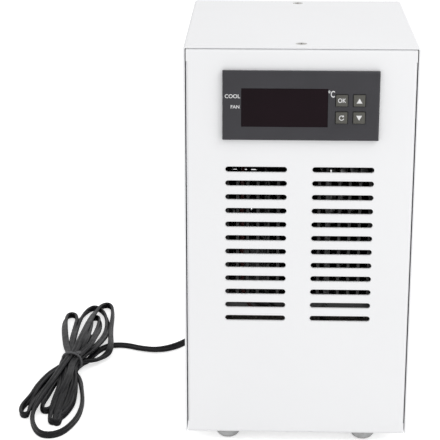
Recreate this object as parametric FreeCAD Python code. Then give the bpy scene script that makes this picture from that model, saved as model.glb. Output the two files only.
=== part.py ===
import FreeCAD, Part
import math
import os

# Thermoelectric aquarium chiller: a small sheet metal box with a panel
# controller, a fan cooled heat sink, a Peltier module and a water block.
#
# Frame: millimetres, +Z up, the front faces -Y. The origin is on the floor,
# under the middle of the footprint from the button faces to the hose tips.

# Sheet metal box
panel_width = 110.0
box_depth = 123.6
panel_height = 199.5
chassis_sheet = 1.0
cover_sheet = 0.8
side_gap = 0.5
top_gap = 0.3
bend_radius = 1.5
top_flange = 15.0
side_return = 12.0
floor_upstand = 9.0
return_step = 6.0
return_lap = 3.0

# Cover screws and their clinch nuts
cover_screw_inset = 8.0
screw_radius = 1.45
thread_clearance = 0.05
countersink_radius = 2.8
cover_screw_length = 8.0
cross_width = 0.7
cross_length = 3.0
cross_depth = 0.8
nut_radius = 3.2
nut_height = 3.0

# Rubber bumper feet
foot_height = 6.0
foot_radius = 6.25
foot_flat_radius = 2.7
foot_rim = 1.2
foot_inset = 10.0
foot_spacing = 69.4

# Air slots in the front panel
slot_length = 30.0
slot_height = 2.8
slot_pitch = 7.02
slot_rows = 12
slot_column_offset = 21.1
slot_field_drop = 97.9

# Panel controller
controller_width = 75.0
controller_height = 34.0
controller_drop = 27.1
bezel_thickness = 2.5
bezel_chamfer = 0.7
cutout_width = 71.0
cutout_height = 29.0
cutout_clearance = 0.3
housing_depth = 62.0
housing_wall = 1.5
board_thickness = 1.6
board_setback = 4.8
board_clearance = 0.3
window_width = 41.4
window_height = 18.8
window_inset = 9.0
window_offset_z = -0.8
window_thickness = 1.2
window_recess = 0.3
display_margin = 1.2
display_gap = 0.15
clip_thickness = 3.0
clip_length = 14.0
clip_height = 15.0
main_board_height = 5.0
terminal_width = 47.0
terminal_length = 16.0
terminal_height = 10.0
terminal_pitch = 7.5
terminal_poles = 6
terminal_hole_radius = 2.1
terminal_hole_depth = 4.0

# Push buttons
button_size = 5.6
button_proud = 0.6
button_clearance = 0.15
button_flange = 0.6
button_lip = 0.6
button_rest_gap = 0.2
button_travel = 0.5
button_column_inset = 9.7
button_column_pitch = 8.35
button_row_rise = 3.0
button_row_drop = 5.4
switch_size = 6.0
switch_height = 3.2
plunger_radius = 1.7
well_clearance = 0.1
well_depth = 1.2
plunger_floor_gap = 0.1

# Cooling fan
fan_size = 80.0
fan_depth = 25.0
fan_hole_spacing = 71.5
fan_hole_radius = 2.15
fan_flange = 3.0
fan_corner_radius = 4.0
fan_bore_radius = 38.4
fan_duct_wall = 1.3
fan_strut_width = 3.5
fan_hub_radius = 16.0
fan_hub_thickness = 2.5
fan_cup_wall = 1.3
fan_cup_gap = 1.3
fan_nose_setback = 3.0
fan_shaft_radius = 1.5
fan_shaft_clearance = 0.05
fan_bearing_radius = 4.0
fan_bearing_length = 12.0
fan_magnet_thickness = 1.6
fan_air_gap = 0.5
fan_stator_length = 9.0
fan_blades = 7
fan_blade_thickness = 1.5
fan_tip_gap = 0.9
fan_blade_inner_sweep = 5.5
fan_blade_outer_sweep = 11.0
fan_blade_inner_camber = 1.6
fan_blade_outer_camber = 2.4
fan_blade_margin = 1.2
fan_screw_length = 14.0
fan_screw_head_radius = 3.6
fan_screw_head_height = 2.2
grille_slot_height = 3.2
grille_pitch = 7.0
grille_rows = 9
grille_radius = 36.0
grille_spine = 6.0

# Heat sink and what it stands on
sink_setback = 9.8
sink_base = 8.0
sink_drop = 135.5
sink_margin = 5.0
fin_height = 62.0
fin_thickness = 1.4
fin_count = 19
sink_fan_gap = 1.8
standoff_flats = 6.0
standoff_foam_gap = 4.5
standoff_inset_y = 9.0
stud_length = 6.0
stud_hole_margin = 1.0
standoff_screw_length = 9.0
standoff_screw_head_radius = 2.8
standoff_screw_head_height = 2.0

# Peltier module, water block and insulation
module_size = 40.0
module_thickness = 4.0
block_margin = 8.0
block_height = 14.0
lid_thickness = 3.0
gasket_thickness = 0.5
channel_width = 8.0
channel_depth = 8.0
channel_passes = 4
channel_edge = 8.0
clamp_module_gap = 4.0
clamp_head_radius = 2.75
clamp_head_height = 2.6
clamp_hole_clearance = 0.25
lid_screw_radius = 1.2
lid_screw_edge = 4.0
lid_screw_step = 9.0
lid_screw_depth = 6.0
lid_head_radius = 2.2
lid_head_height = 1.5
foam_wall = 8.5
foam_clearance = 0.3
foam_lead_channel = 5.0

# Hose tails and their rubber parts
tail_offset = 16.0
tail_rise = 7.0
tail_thread_radius = 4.8
tail_thread_length = 8.0
tail_hex_flats = 12.0
tail_hex_length = 4.0
tail_radius = 4.0
tail_bore_radius = 3.0
tail_reach = 22.0
barb_height = 0.9
barb_length = 5.5
barb_count = 3
seal_thickness = 0.8
seal_radius = 6.2
grommet_hole_radius = 6.5
grommet_flange_radius = 8.2
grommet_lip = 1.5
grommet_clearance = 0.15

# Temperature probe
probe_radius = 1.5
probe_length = 15.0
probe_pocket_depth = 12.0
probe_offset = 13.6
probe_rise = 10.2
probe_clearance = 0.1

# Wiring inside the box
thin_lead_radius = 0.9
lead_front_gap = 4.4
red_lead_x = -27.5
black_lead_x = -16.5
black_lead_setback = 2.0
module_lead_offset = 8.0
lead_top_clearance = 11.0

# Power cord, its bush and its plug
cord_radius = 1.5
bush_x = -22.0
bush_rise = 12.0
bush_hole_radius = 5.2
bush_flange_radius = 7.0
bush_flange = 2.5
bush_nozzle_radius = 4.6
bush_tip_radius = 3.6
bush_nozzle_length = 12.0
bush_inner_length = 6.0
bush_inner_radius = 5.8
bush_clearance = 0.1
cord_clearance = 0.05
cord_joint_depth = 6.0
plug_radius = 4.2
plug_neck_radius = 2.9
plug_relief_length = 7.0
plug_body_length = 15.5
plug_sleeve_radius = 2.75
plug_sleeve_bore = 2.2
plug_pin_bore = 1.05
plug_sleeve_length = 9.5
plug_seat = 4.0
plug_x = -121.0
plug_start_y = 26.0
plug_pocket_clearance = 0.3
tie_width = 1.6
tie_thickness = 0.7
tie_clearance = 0.3

# Levels and planes worked out from the sizes above
button_face_reach = bezel_thickness + button_proud
footprint_depth = button_face_reach + box_depth + tail_reach
front_y = -footprint_depth / 2 + button_face_reach
rear_y = front_y + box_depth
front_inner_y = front_y + chassis_sheet
rear_inner_y = rear_y - chassis_sheet
base_z = foot_height
floor_z = base_z + chassis_sheet
panel_top_z = base_z + panel_height
half_panel = panel_width / 2
cover_half = half_panel + side_gap + cover_sheet
cover_top_z = panel_top_z + top_gap + cover_sheet
cover_bottom_z = base_z + top_gap
slot_centre_z = panel_top_z - slot_field_drop
controller_z = panel_top_z - controller_drop
bezel_front_y = front_y - bezel_thickness
board_front_y = front_y + board_setback
window_offset_x = window_inset + (window_width - controller_width) / 2
button_column_right = controller_width / 2 - button_column_inset
button_column_left = button_column_right - button_column_pitch
housing_rear_y = front_y + housing_depth
housing_width = cutout_width - 2 * cutout_clearance
housing_height = cutout_height - 2 * cutout_clearance
fan_rear_y = rear_inner_y
fan_front_y = fan_rear_y - fan_depth
sink_bottom_z = panel_top_z - sink_drop
sink_rear_y = fan_front_y - sink_fan_gap
sink_front_y = front_y + sink_setback
sink_depth = sink_rear_y - sink_front_y
sink_y = (sink_front_y + sink_rear_y) / 2
fan_z = sink_bottom_z + sink_base + fin_height / 2
block_size = module_size + 2 * block_margin
channel_span = block_size - 2 * channel_edge
clamp_half = module_size / 2 + clamp_module_gap
lid_screw_half = block_size / 2 - lid_screw_edge
foam_half = block_size / 2 + foam_wall
standoff_x = foam_half + standoff_foam_gap
sink_width = 2 * (standoff_x + sink_margin)
module_bottom_z = sink_bottom_z - module_thickness
block_bottom_z = module_bottom_z - block_height
lid_top_z = block_bottom_z - gasket_thickness
lid_bottom_z = lid_top_z - lid_thickness
tail_z = block_bottom_z + tail_rise
probe_z = block_bottom_z + probe_rise
block_rear_y = sink_y + block_size / 2
block_front_y = sink_y - block_size / 2
bush_z = base_z + bush_rise
terminal_z = controller_z - housing_height / 2 + housing_wall + main_board_height
terminal_rear_y = housing_rear_y + terminal_length / 2
button_upper_z = controller_z + button_row_rise
button_lower_z = controller_z - button_row_drop

# The flat twin lead lies on the floor from the bush to the hank. Its points
# are chosen by hand along the lead's bends.
lead_points = [
    (bush_x, rear_y + cord_joint_depth, bush_z),
    (bush_x, rear_y + 24.0, bush_z),
    (-29.0, 91.0, 10.5),
    (-42.0, 95.0, 4.5),
    (-53.0, 84.5, cord_radius),
    (-57.0, 71.0, cord_radius),
    (-62.0, 59.0, cord_radius),
    (-70.0, 49.2, cord_radius),
    (-79.2, 44.9, cord_radius),
    (-89.0, 47.4, cord_radius),
    (-98.5, 51.6, cord_radius),
    (-107.5, 50.6, cord_radius),
    (-115.0, 46.0, cord_radius),
]

# Cross-sections of the tied hank along Y: place, width, height and lift
hank_centre_x = -124.0
hank_sections = [
    (-72.0, -3.0, 12.0, 3.4, 0.2),
    (-64.0, -2.5, 23.0, 4.6, 0.0),
    (-46.0, -6.5, 36.0, 6.0, 0.0),
    (-28.0, -5.5, 33.0, 7.5, 0.0),
    (-8.0, -4.5, 27.0, 9.0, 0.0),
    (6.0, -3.0, 17.0, 10.0, 0.2),
    (16.0, -2.0, 13.0, 9.4, 1.2),
    (21.0, -1.9, 13.0, 9.6, 1.2),
    (36.0, 2.0, 22.0, 11.0, 0.0),
    (52.0, 4.5, 30.0, 12.0, 0.0),
    (76.0, 1.0, 33.0, 9.0, 0.0),
    (98.0, 1.0, 32.0, 6.0, 0.0),
    (114.0, 4.0, 21.0, 4.6, 0.0),
    (121.0, 8.0, 9.0, 3.4, 0.2),
]
tie_y = 18.5


def vec(x, y, z):
    return FreeCAD.Vector(x, y, z)


AXIS_X = vec(1, 0, 0)
AXIS_Y = vec(0, 1, 0)
AXIS_Z = vec(0, 0, 1)


def box(x0, x1, y0, y1, z0, z1):
    return Part.makeBox(x1 - x0, y1 - y0, z1 - z0, vec(x0, y0, z0))


def block(x, y, z0, width, depth, height):
    """Box centred on x and y that stands on z0."""
    return box(x - width / 2, x + width / 2, y - depth / 2, y + depth / 2, z0, z0 + height)


def rod_y(radius, x, z, y0, y1):
    return Part.makeCylinder(radius, y1 - y0, vec(x, y0, z), AXIS_Y)


def rod_z(radius, x, y, z0, z1):
    return Part.makeCylinder(radius, z1 - z0, vec(x, y, z0), AXIS_Z)


def cone_z(radius0, radius1, x, y, z0, z1):
    return Part.makeCone(radius0, radius1, z1 - z0, vec(x, y, z0), AXIS_Z)


def fuse(shapes):
    first = shapes[0]
    if len(shapes) == 1:
        return first
    return first.fuse(shapes[1:]).removeSplitter()


def cut(shape, tools):
    return shape.cut(tools)


def mirrored_x(shape):
    return shape.mirror(vec(0, 0, 0), AXIS_X)


def mirrored_depth(shape):
    """Mirror about the middle of the box's depth."""
    return shape.mirror(vec(0, (front_y + rear_y) / 2, 0), AXIS_Y)


def turned_y(profile, x, z):
    """Solid turned about an axis along Y, from (radius, y) points."""
    points = [vec(x + radius, y, z) for radius, y in profile]
    points.append(points[0])
    face = Part.Face(Part.makePolygon(points))
    return face.revolve(vec(x, 0, z), AXIS_Y, 360)


def hexagon_prism(flats, centre, axis, length):
    """Six-sided bar, its flats apart by flats, from centre along axis."""
    across = flats / math.sqrt(3)
    turn = FreeCAD.Rotation(AXIS_Z, axis)
    points = []
    for step in range(7):
        angle = math.radians(60 * step)
        points.append(centre + turn.multVec(vec(across * math.cos(angle), across * math.sin(angle), 0)))
    return Part.Face(Part.makePolygon(points)).extrude(axis * length)


def rounded_edges(points, radii):
    """Straight runs through the points, joined by arcs that touch them."""
    edges = []
    start = points[0]
    for before, corner, after, radius in zip(points, points[1:], points[2:], radii):
        back = (before - corner).normalize()
        ahead = (after - corner).normalize()
        half_turn = (math.pi - back.getAngle(ahead)) / 2
        reach = radius * math.tan(half_turn)
        arc_start = corner + back * reach
        arc_end = corner + ahead * reach
        middle = (back + ahead).normalize()
        centre_distance = radius / math.cos(half_turn)
        arc_middle = corner + middle * (centre_distance - radius)
        if (arc_start - start).Length > 1e-6:
            edges.append(Part.LineSegment(start, arc_start).toShape())
        edges.append(Part.Arc(arc_start, arc_middle, arc_end).toShape())
        start = arc_end
    edges.append(Part.LineSegment(start, points[-1]).toShape())
    return edges


def folded(corners, bend_axis, sheet, radius, length):
    """Sheet folded square along the corners, which lie on its outer face."""
    inner = []
    last = len(corners) - 1
    for index, corner in enumerate(corners):
        shift = vec(0, 0, 0)
        if index > 0:
            shift = shift + bend_axis.cross((corner - corners[index - 1]).normalize())
        if index < last:
            shift = shift + bend_axis.cross((corners[index + 1] - corner).normalize())
        inner.append(corner + shift * sheet)
    bends = last - 1
    edges = rounded_edges(corners, [radius] * bends)
    edges.append(Part.LineSegment(corners[-1], inner[-1]).toShape())
    edges += rounded_edges(inner, [max(radius - sheet, 0.2)] * bends)
    edges.append(Part.LineSegment(inner[0], corners[0]).toShape())
    outline = Part.Wire(Part.__sortEdges__(edges))
    return Part.Face(outline).extrude(bend_axis * length)


def bend_radii(points):
    """Arcs as large as their two runs allow."""
    radii = []
    for before, corner, after in zip(points, points[1:], points[2:]):
        shorter = min((corner - before).Length, (after - corner).Length)
        half_turn = (math.pi - (before - corner).getAngle(after - corner)) / 2
        radii.append(0.45 * shorter / math.tan(half_turn))
    return radii


def tube(points, radius):
    """Round tube along straight runs joined by arcs, and its length."""
    route = [vec(*point) for point in points]
    path = Part.Wire(rounded_edges(route, bend_radii(route)))
    ring = Part.Wire(Part.makeCircle(radius, route[0], route[1] - route[0]))
    return path.makePipeShell([ring], True, True), path.Length


def slot_tool(x, z, length, height, y0, y1):
    """Round-ended slot cut along Y."""
    radius = height / 2
    half = length / 2 - radius
    straight = box(x - half, x + half, y0, y1, z - radius, z + radius)
    ends = [rod_y(radius, x + side * half, z, y0, y1) for side in (-1, 1)]
    return fuse([straight] + ends)


def cover_screw_places():
    return [(0.0, front_y + cover_screw_inset), (0.0, rear_y - cover_screw_inset)]


def foot_places():
    half = foot_spacing / 2
    return [(side * half, y) for side in (-1, 1) for y in (front_y + foot_inset, rear_y - foot_inset)]


def standoff_places():
    y = sink_depth / 2 - standoff_inset_y
    return [(a * standoff_x, sink_y + b * y) for a in (-1, 1) for b in (-1, 1)]


def clamp_places():
    return [(a * clamp_half, sink_y + b * clamp_half) for a in (-1, 1) for b in (-1, 1)]


def lid_screw_places():
    sides = [(a * lid_screw_half, b * lid_screw_step) for a in (-1, 1) for b in (-1, 1)]
    ends = [(b * lid_screw_step, a * lid_screw_half) for a in (-1, 1) for b in (-1, 1)]
    return [(x, sink_y + y) for x, y in sides + ends]


def fan_hole_places():
    half = fan_hole_spacing / 2
    return [(a * half, fan_z + b * half) for a in (-1, 1) for b in (-1, 1)]


def front_slots():
    y0 = front_y - 1
    y1 = front_inner_y + 1
    tools = []
    for row in range(slot_rows):
        z = slot_centre_z + (row - (slot_rows - 1) / 2) * slot_pitch
        for side in (-1, 1):
            tools.append(slot_tool(side * slot_column_offset, z, slot_length, slot_height, y0, y1))
    return tools


def rear_slots():
    """Outlet slots that fill the fan's circle on both sides of a spine."""
    tools = []
    for row in range(grille_rows):
        offset = (row - (grille_rows - 1) / 2) * grille_pitch
        chord = math.sqrt(grille_radius ** 2 - (abs(offset) + grille_slot_height / 2) ** 2)
        length = chord - grille_spine / 2
        for side in (-1, 1):
            x = side * (grille_spine / 2 + length / 2)
            tools.append(slot_tool(x, fan_z + offset, length, grille_slot_height,
                                   rear_inner_y - 1, rear_y + 1))
    return tools


def side_return_piece(y_panel, y_end, bend_axis, z_from):
    corners = [
        vec(half_panel - return_lap, y_panel, z_from),
        vec(half_panel, y_panel, z_from),
        vec(half_panel, y_end, z_from),
    ]
    return folded(corners, bend_axis, chassis_sheet, bend_radius, panel_height - 2 * return_step)


def make_chassis():
    """Front, floor and rear in one folded sheet, with returns inside the cover."""
    left = -half_panel
    corners = [
        vec(left, front_y + top_flange, panel_top_z),
        vec(left, front_y, panel_top_z),
        vec(left, front_y, base_z),
        vec(left, rear_y, base_z),
        vec(left, rear_y, panel_top_z),
        vec(left, rear_y - top_flange, panel_top_z),
    ]
    strip = folded(corners, AXIS_X, chassis_sheet, bend_radius, panel_width)
    z0 = base_z + return_step
    z1 = panel_top_z - return_step
    edge_x = half_panel - return_lap
    front_strip = box(edge_x, half_panel + 1, front_y - 1, front_inner_y + 1, z0, z1)
    floor_y0 = front_y + return_step
    floor_y1 = rear_y - return_step
    floor_strip = box(edge_x, half_panel + 1, floor_y0, floor_y1, base_z - 1, floor_z + 1)
    front_return = side_return_piece(front_y, front_y + side_return, AXIS_Z, z0)
    upstand_corners = [
        vec(edge_x, floor_y1, base_z),
        vec(half_panel, floor_y1, base_z),
        vec(half_panel, floor_y1, base_z + floor_upstand),
    ]
    upstand = folded(upstand_corners, AXIS_Y * -1, chassis_sheet, bend_radius, floor_y1 - floor_y0)
    strips = [front_strip, mirrored_depth(front_strip), floor_strip]
    returns = [front_return, mirrored_depth(front_return), upstand]
    body = cut(strip, strips + [mirrored_x(strip_edge) for strip_edge in strips])
    body = fuse([body] + returns + [mirrored_x(piece) for piece in returns])
    tools = front_slots() + rear_slots()
    tools.append(box(-cutout_width / 2, cutout_width / 2, front_y - 1, front_inner_y + 1,
                     controller_z - cutout_height / 2, controller_z + cutout_height / 2))
    for x, y in cover_screw_places():
        tools.append(rod_z(countersink_radius - 0.4, x, y, panel_top_z - chassis_sheet - 1, panel_top_z + 1))
    for x, z in fan_hole_places():
        tools.append(rod_y(fan_hole_radius, x, z, rear_inner_y - 1, rear_y + 1))
    for side in (-1, 1):
        tools.append(rod_y(grommet_hole_radius, side * tail_offset, tail_z, rear_inner_y - 1, rear_y + 1))
    tools.append(rod_y(bush_hole_radius, bush_x, bush_z, rear_inner_y - 1, rear_y + 1))
    for x, y in standoff_places():
        tools.append(rod_z(screw_radius + clamp_hole_clearance, x, y, base_z - 1, floor_z + 1))
    return cut(body, tools)


def make_cover():
    """Top and both sides in one folded sheet."""
    corners = [
        vec(-cover_half, front_y, cover_bottom_z),
        vec(-cover_half, front_y, cover_top_z),
        vec(cover_half, front_y, cover_top_z),
        vec(cover_half, front_y, cover_bottom_z),
    ]
    sheet = folded(corners, AXIS_Y, cover_sheet, bend_radius, box_depth)
    tools = []
    for x, y in cover_screw_places():
        neck = countersink_radius - cover_sheet
        tools.append(cone_z(neck, countersink_radius, x, y, cover_top_z - cover_sheet, cover_top_z))
    return cut(sheet, tools)


def make_cover_screws():
    screws = []
    for x, y in cover_screw_places():
        head_bottom = cover_top_z - (countersink_radius - screw_radius)
        head = cone_z(screw_radius, countersink_radius, x, y, head_bottom, cover_top_z)
        shank = rod_z(screw_radius, x, y, cover_top_z - cover_screw_length, head_bottom)
        screw = fuse([head, shank])
        z0 = cover_top_z - cross_depth
        along = block(x, y, z0, cross_length, cross_width, cross_depth + 1)
        across = block(x, y, z0, cross_width, cross_length, cross_depth + 1)
        screws.append(cut(screw, [along, across]))
    return screws


def make_cover_nuts():
    nuts = []
    top = panel_top_z - chassis_sheet
    for x, y in cover_screw_places():
        body = rod_z(nut_radius, x, y, top - nut_height, top)
        bore = rod_z(screw_radius + thread_clearance, x, y, top - nut_height - 1, top + 1)
        nuts.append(cut(body, [bore]))
    return nuts


def make_feet():
    """Domed bumpers: straight rim, then an arc down to a small flat."""
    feet = []
    for x, y in foot_places():
        rim_z = base_z - foot_rim
        start = vec(x + foot_radius, y, rim_z)
        end = vec(x + foot_flat_radius, y, 0)
        bulge = vec(x + foot_flat_radius + (foot_radius - foot_flat_radius) * 0.78, y, rim_z * 0.34)
        edges = [
            Part.LineSegment(vec(x, y, base_z), vec(x + foot_radius, y, base_z)).toShape(),
            Part.LineSegment(vec(x + foot_radius, y, base_z), start).toShape(),
            Part.Arc(start, bulge, end).toShape(),
            Part.LineSegment(end, vec(x, y, 0)).toShape(),
            Part.LineSegment(vec(x, y, 0), vec(x, y, base_z)).toShape(),
        ]
        feet.append(Part.Face(Part.Wire(edges)).revolve(vec(x, y, 0), AXIS_Z, 360))
    return feet


def button_places():
    return {
        "set": (button_column_left, button_upper_z),
        "up": (button_column_right, button_upper_z),
        "reset": (button_column_left, button_lower_z),
        "down": (button_column_right, button_lower_z),
    }


def window_opening(margin, y0, y1):
    x = window_offset_x
    z = controller_z + window_offset_z
    half_width = window_width / 2 + margin
    half_height = window_height / 2 + margin
    return box(x - half_width, x + half_width, y0, y1, z - half_height, z + half_height)


def make_controller_bezel():
    plate = box(-controller_width / 2, controller_width / 2, bezel_front_y, front_y,
                controller_z - controller_height / 2, controller_z + controller_height / 2)
    rim = [edge for edge in plate.Edges if abs(edge.CenterOfMass.y - bezel_front_y) < 1e-6]
    plate = plate.makeChamfer(bezel_chamfer, rim)
    hole = button_size / 2 + button_clearance
    tools = [window_opening(0, bezel_front_y - 1, bezel_front_y + window_recess + window_thickness),
             window_opening(-display_margin, bezel_front_y, front_y + 1)]
    for x, z in button_places().values():
        tools.append(box(x - hole, x + hole, bezel_front_y - 1, front_y + 1, z - hole, z + hole))
    return cut(plate, tools)


def make_display_window():
    y0 = bezel_front_y + window_recess
    return window_opening(-0.05, y0, y0 + window_thickness)


def make_display_module():
    y0 = bezel_front_y + window_recess + window_thickness + display_gap
    return window_opening(-display_margin - 0.3, y0, board_front_y)


def make_display_board():
    half_width = housing_width / 2 - housing_wall - board_clearance
    half_height = housing_height / 2 - housing_wall - board_clearance
    return box(-half_width, half_width, board_front_y, board_front_y + board_thickness,
               controller_z - half_height, controller_z + half_height)


def make_controller_housing():
    """Box behind the panel, open at the front, with a slot for the terminals."""
    outer = box(-housing_width / 2, housing_width / 2, front_y, housing_rear_y,
                controller_z - housing_height / 2, controller_z + housing_height / 2)
    inner = box(-housing_width / 2 + housing_wall, housing_width / 2 - housing_wall,
                front_y - 1, housing_rear_y - housing_wall,
                controller_z - housing_height / 2 + housing_wall,
                controller_z + housing_height / 2 - housing_wall)
    slot = box(-terminal_width / 2 - board_clearance, terminal_width / 2 + board_clearance,
               housing_rear_y - housing_wall - 1, housing_rear_y + 1,
               terminal_z - board_clearance, terminal_z + terminal_height + board_clearance)
    return cut(outer, [inner, slot])


def make_main_board():
    half_width = housing_width / 2 - housing_wall - board_clearance
    return box(-half_width, half_width, board_front_y + board_thickness,
               housing_rear_y - housing_wall - board_clearance,
               terminal_z - board_thickness, terminal_z)


def terminal_x(pole):
    return (pole - (terminal_poles - 1) / 2) * terminal_pitch


def terminal_hole_z():
    return terminal_z + terminal_height / 2


def make_terminal_block():
    body = box(-terminal_width / 2, terminal_width / 2, terminal_rear_y - terminal_length, terminal_rear_y,
               terminal_z, terminal_z + terminal_height)
    holes = [rod_y(terminal_hole_radius, terminal_x(pole), terminal_hole_z(),
                   terminal_rear_y - terminal_hole_depth, terminal_rear_y + 1)
             for pole in range(terminal_poles)]
    return cut(body, holes)


def make_controller_clips():
    """Wedge clips that hold the housing against the back of the panel."""
    x0 = housing_width / 2
    z0 = controller_z - clip_height / 2
    outline = [
        vec(x0, front_inner_y, z0),
        vec(x0 + 2 * clip_thickness, front_inner_y, z0),
        vec(x0 + 2 * clip_thickness, front_inner_y + clip_thickness / 2, z0),
        vec(x0 + clip_thickness / 2, front_inner_y + clip_length, z0),
        vec(x0, front_inner_y + clip_length, z0),
        vec(x0, front_inner_y, z0),
    ]
    clip = Part.Face(Part.makePolygon(outline)).extrude(AXIS_Z * clip_height)
    return [clip, mirrored_x(clip)]


def flange_front_y():
    return front_y + button_rest_gap


def make_button(x, z):
    """Square cap with a lip behind the bezel that keeps it in."""
    half = button_size / 2
    lip = half + button_lip
    lip_y = flange_front_y()
    cap = box(x - half, x + half, front_y - button_face_reach, lip_y, z - half, z + half)
    flange = box(x - lip, x + lip, lip_y, lip_y + button_flange, z - lip, z + lip)
    return fuse([cap, flange])


def switch_top_y():
    return board_front_y - switch_height


def make_plunger(x, z):
    y0 = flange_front_y() + button_flange
    y1 = switch_top_y() + well_depth - button_travel - plunger_floor_gap
    return rod_y(plunger_radius, x, z, y0, y1)


def make_button_switches():
    switches = []
    half = switch_size / 2
    for x, z in button_places().values():
        body = box(x - half, x + half, switch_top_y(), board_front_y, z - half, z + half)
        well = rod_y(plunger_radius + well_clearance, x, z, switch_top_y() - 1, switch_top_y() + well_depth)
        switches.append(cut(body, [well]))
    return switches


def square_flange(y0, y1):
    half = fan_size / 2
    plate = box(-half, half, y0, y1, fan_z - half, fan_z + half)
    corners = [edge for edge in plate.Edges if abs(edge.tangentAt(edge.FirstParameter).y) > 0.9]
    return plate.makeFillet(fan_corner_radius, corners)


def make_fan_frame():
    duct_radius = fan_bore_radius + fan_duct_wall
    flanges = [square_flange(fan_front_y, fan_front_y + fan_flange),
               square_flange(fan_rear_y - fan_flange, fan_rear_y)]
    duct = rod_y(duct_radius, 0, fan_z, fan_front_y, fan_rear_y)
    frame = fuse(flanges + [duct])
    frame = cut(frame, [rod_y(fan_bore_radius, 0, fan_z, fan_front_y - 1, fan_rear_y + 1)])
    hub_y = fan_rear_y - fan_hub_thickness
    hub = rod_y(fan_hub_radius, 0, fan_z, hub_y, fan_rear_y)
    bearing = rod_y(fan_bearing_radius, 0, fan_z, hub_y - fan_bearing_length, hub_y)
    reach = fan_bore_radius + fan_duct_wall / 2
    half = fan_strut_width / 2
    struts = [box(-reach, reach, hub_y, fan_rear_y, fan_z - half, fan_z + half),
              box(-half, half, hub_y, fan_rear_y, fan_z - reach, fan_z + reach)]
    for strut in struts:
        strut.rotate(vec(0, 0, fan_z), AXIS_Y, 45)
    frame = fuse([frame, hub, bearing] + struts)
    bore_radius = fan_shaft_radius + fan_shaft_clearance
    tools = [rod_y(bore_radius, 0, fan_z, hub_y - fan_bearing_length - 1, hub_y)]
    for x, z in fan_hole_places():
        tools.append(rod_y(fan_hole_radius, x, z, fan_front_y - 1, fan_rear_y + 1))
    return cut(frame, tools)


def cup_inner_radius():
    return fan_hub_radius - fan_cup_wall


def make_fan_stator():
    hub_y = fan_rear_y - fan_hub_thickness
    outer = cup_inner_radius() - fan_magnet_thickness - fan_air_gap
    y1 = hub_y - fan_cup_gap
    ring = rod_y(outer, 0, fan_z, y1 - fan_stator_length, y1)
    bore = rod_y(fan_bearing_radius + thread_clearance, 0, fan_z, y1 - fan_stator_length - 1, y1 + 1)
    slots = []
    for quarter in range(4):
        slot = box(outer * 0.6, outer + 1, y1 - fan_stator_length - 1, y1 + 1, fan_z - 1.2, fan_z + 1.2)
        slot.rotate(vec(0, 0, fan_z), AXIS_Y, 90 * quarter)
        slots.append(slot)
    return cut(ring, [bore] + slots)


def make_fan_magnet():
    hub_y = fan_rear_y - fan_hub_thickness
    y1 = hub_y - fan_cup_gap
    outer = rod_y(cup_inner_radius() - 0.05, 0, fan_z, y1 - fan_stator_length, y1)
    inner = rod_y(cup_inner_radius() - fan_magnet_thickness, 0, fan_z, y1 - fan_stator_length - 1, y1 + 1)
    return cut(outer, [inner])


def blade_section(radius, sweep, camber, y0, y1):
    """Bowed strip in the plane square to the blade's radius."""
    half = fan_blade_thickness / 2
    middle = (y0 + y1) / 2
    outline = [
        (-sweep - half, y0), (camber - half, middle), (sweep - half, y1),
        (sweep + half, y1), (camber + half, middle), (-sweep + half, y0),
    ]
    points = [vec(across, y, fan_z + radius) for across, y in outline]
    points.append(points[0])
    return Part.makePolygon(points)


def make_fan_rotor():
    hub_y = fan_rear_y - fan_hub_thickness
    nose_y = fan_front_y + fan_nose_setback
    cup_end = hub_y - fan_cup_gap
    tip_radius = fan_bore_radius - fan_tip_gap
    blade_y0 = nose_y + fan_blade_margin
    blade_y1 = cup_end - fan_blade_margin
    root = blade_section(cup_inner_radius() + fan_cup_wall / 2, fan_blade_inner_sweep,
                         fan_blade_inner_camber, blade_y0, blade_y1)
    tip = blade_section(fan_bore_radius, fan_blade_outer_sweep, fan_blade_outer_camber, blade_y0, blade_y1)
    blank = Part.makeLoft([root, tip], True, True)
    blade = blank.common(rod_y(tip_radius, 0, fan_z, nose_y, cup_end))
    cup = rod_y(fan_hub_radius, 0, fan_z, nose_y, cup_end)
    hollow = rod_y(cup_inner_radius(), 0, fan_z, nose_y + fan_cup_wall, cup_end + 1)
    cup = cut(cup, [hollow])
    shaft = rod_y(fan_shaft_radius, 0, fan_z, nose_y, hub_y - 0.5)
    blades = []
    for index in range(fan_blades):
        copy = blade.copy()
        copy.rotate(vec(0, 0, fan_z), AXIS_Y, 360 * index / fan_blades)
        blades.append(copy)
    blades = [copy.cut(rod_y(cup_inner_radius() + fan_cup_wall / 4, 0, fan_z, nose_y, cup_end + 1))
              for copy in blades]
    return fuse([cup, shaft] + blades)


def make_fan_screws():
    screws = []
    for x, z in fan_hole_places():
        head = rod_y(fan_screw_head_radius, x, z, rear_y, rear_y + fan_screw_head_height)
        shank = rod_y(fan_hole_radius - 2 * thread_clearance, x, z, rear_y - fan_screw_length, rear_y)
        recess_y = rear_y + fan_screw_head_height - cross_depth
        half = cross_width / 2
        arm = cross_length / 2
        along = box(x - arm, x + arm, recess_y, rear_y + 5, z - half, z + half)
        across = box(x - half, x + half, recess_y, rear_y + 5, z - arm, z + arm)
        screws.append(cut(fuse([head, shank]), [along, across]))
    return screws


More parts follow.
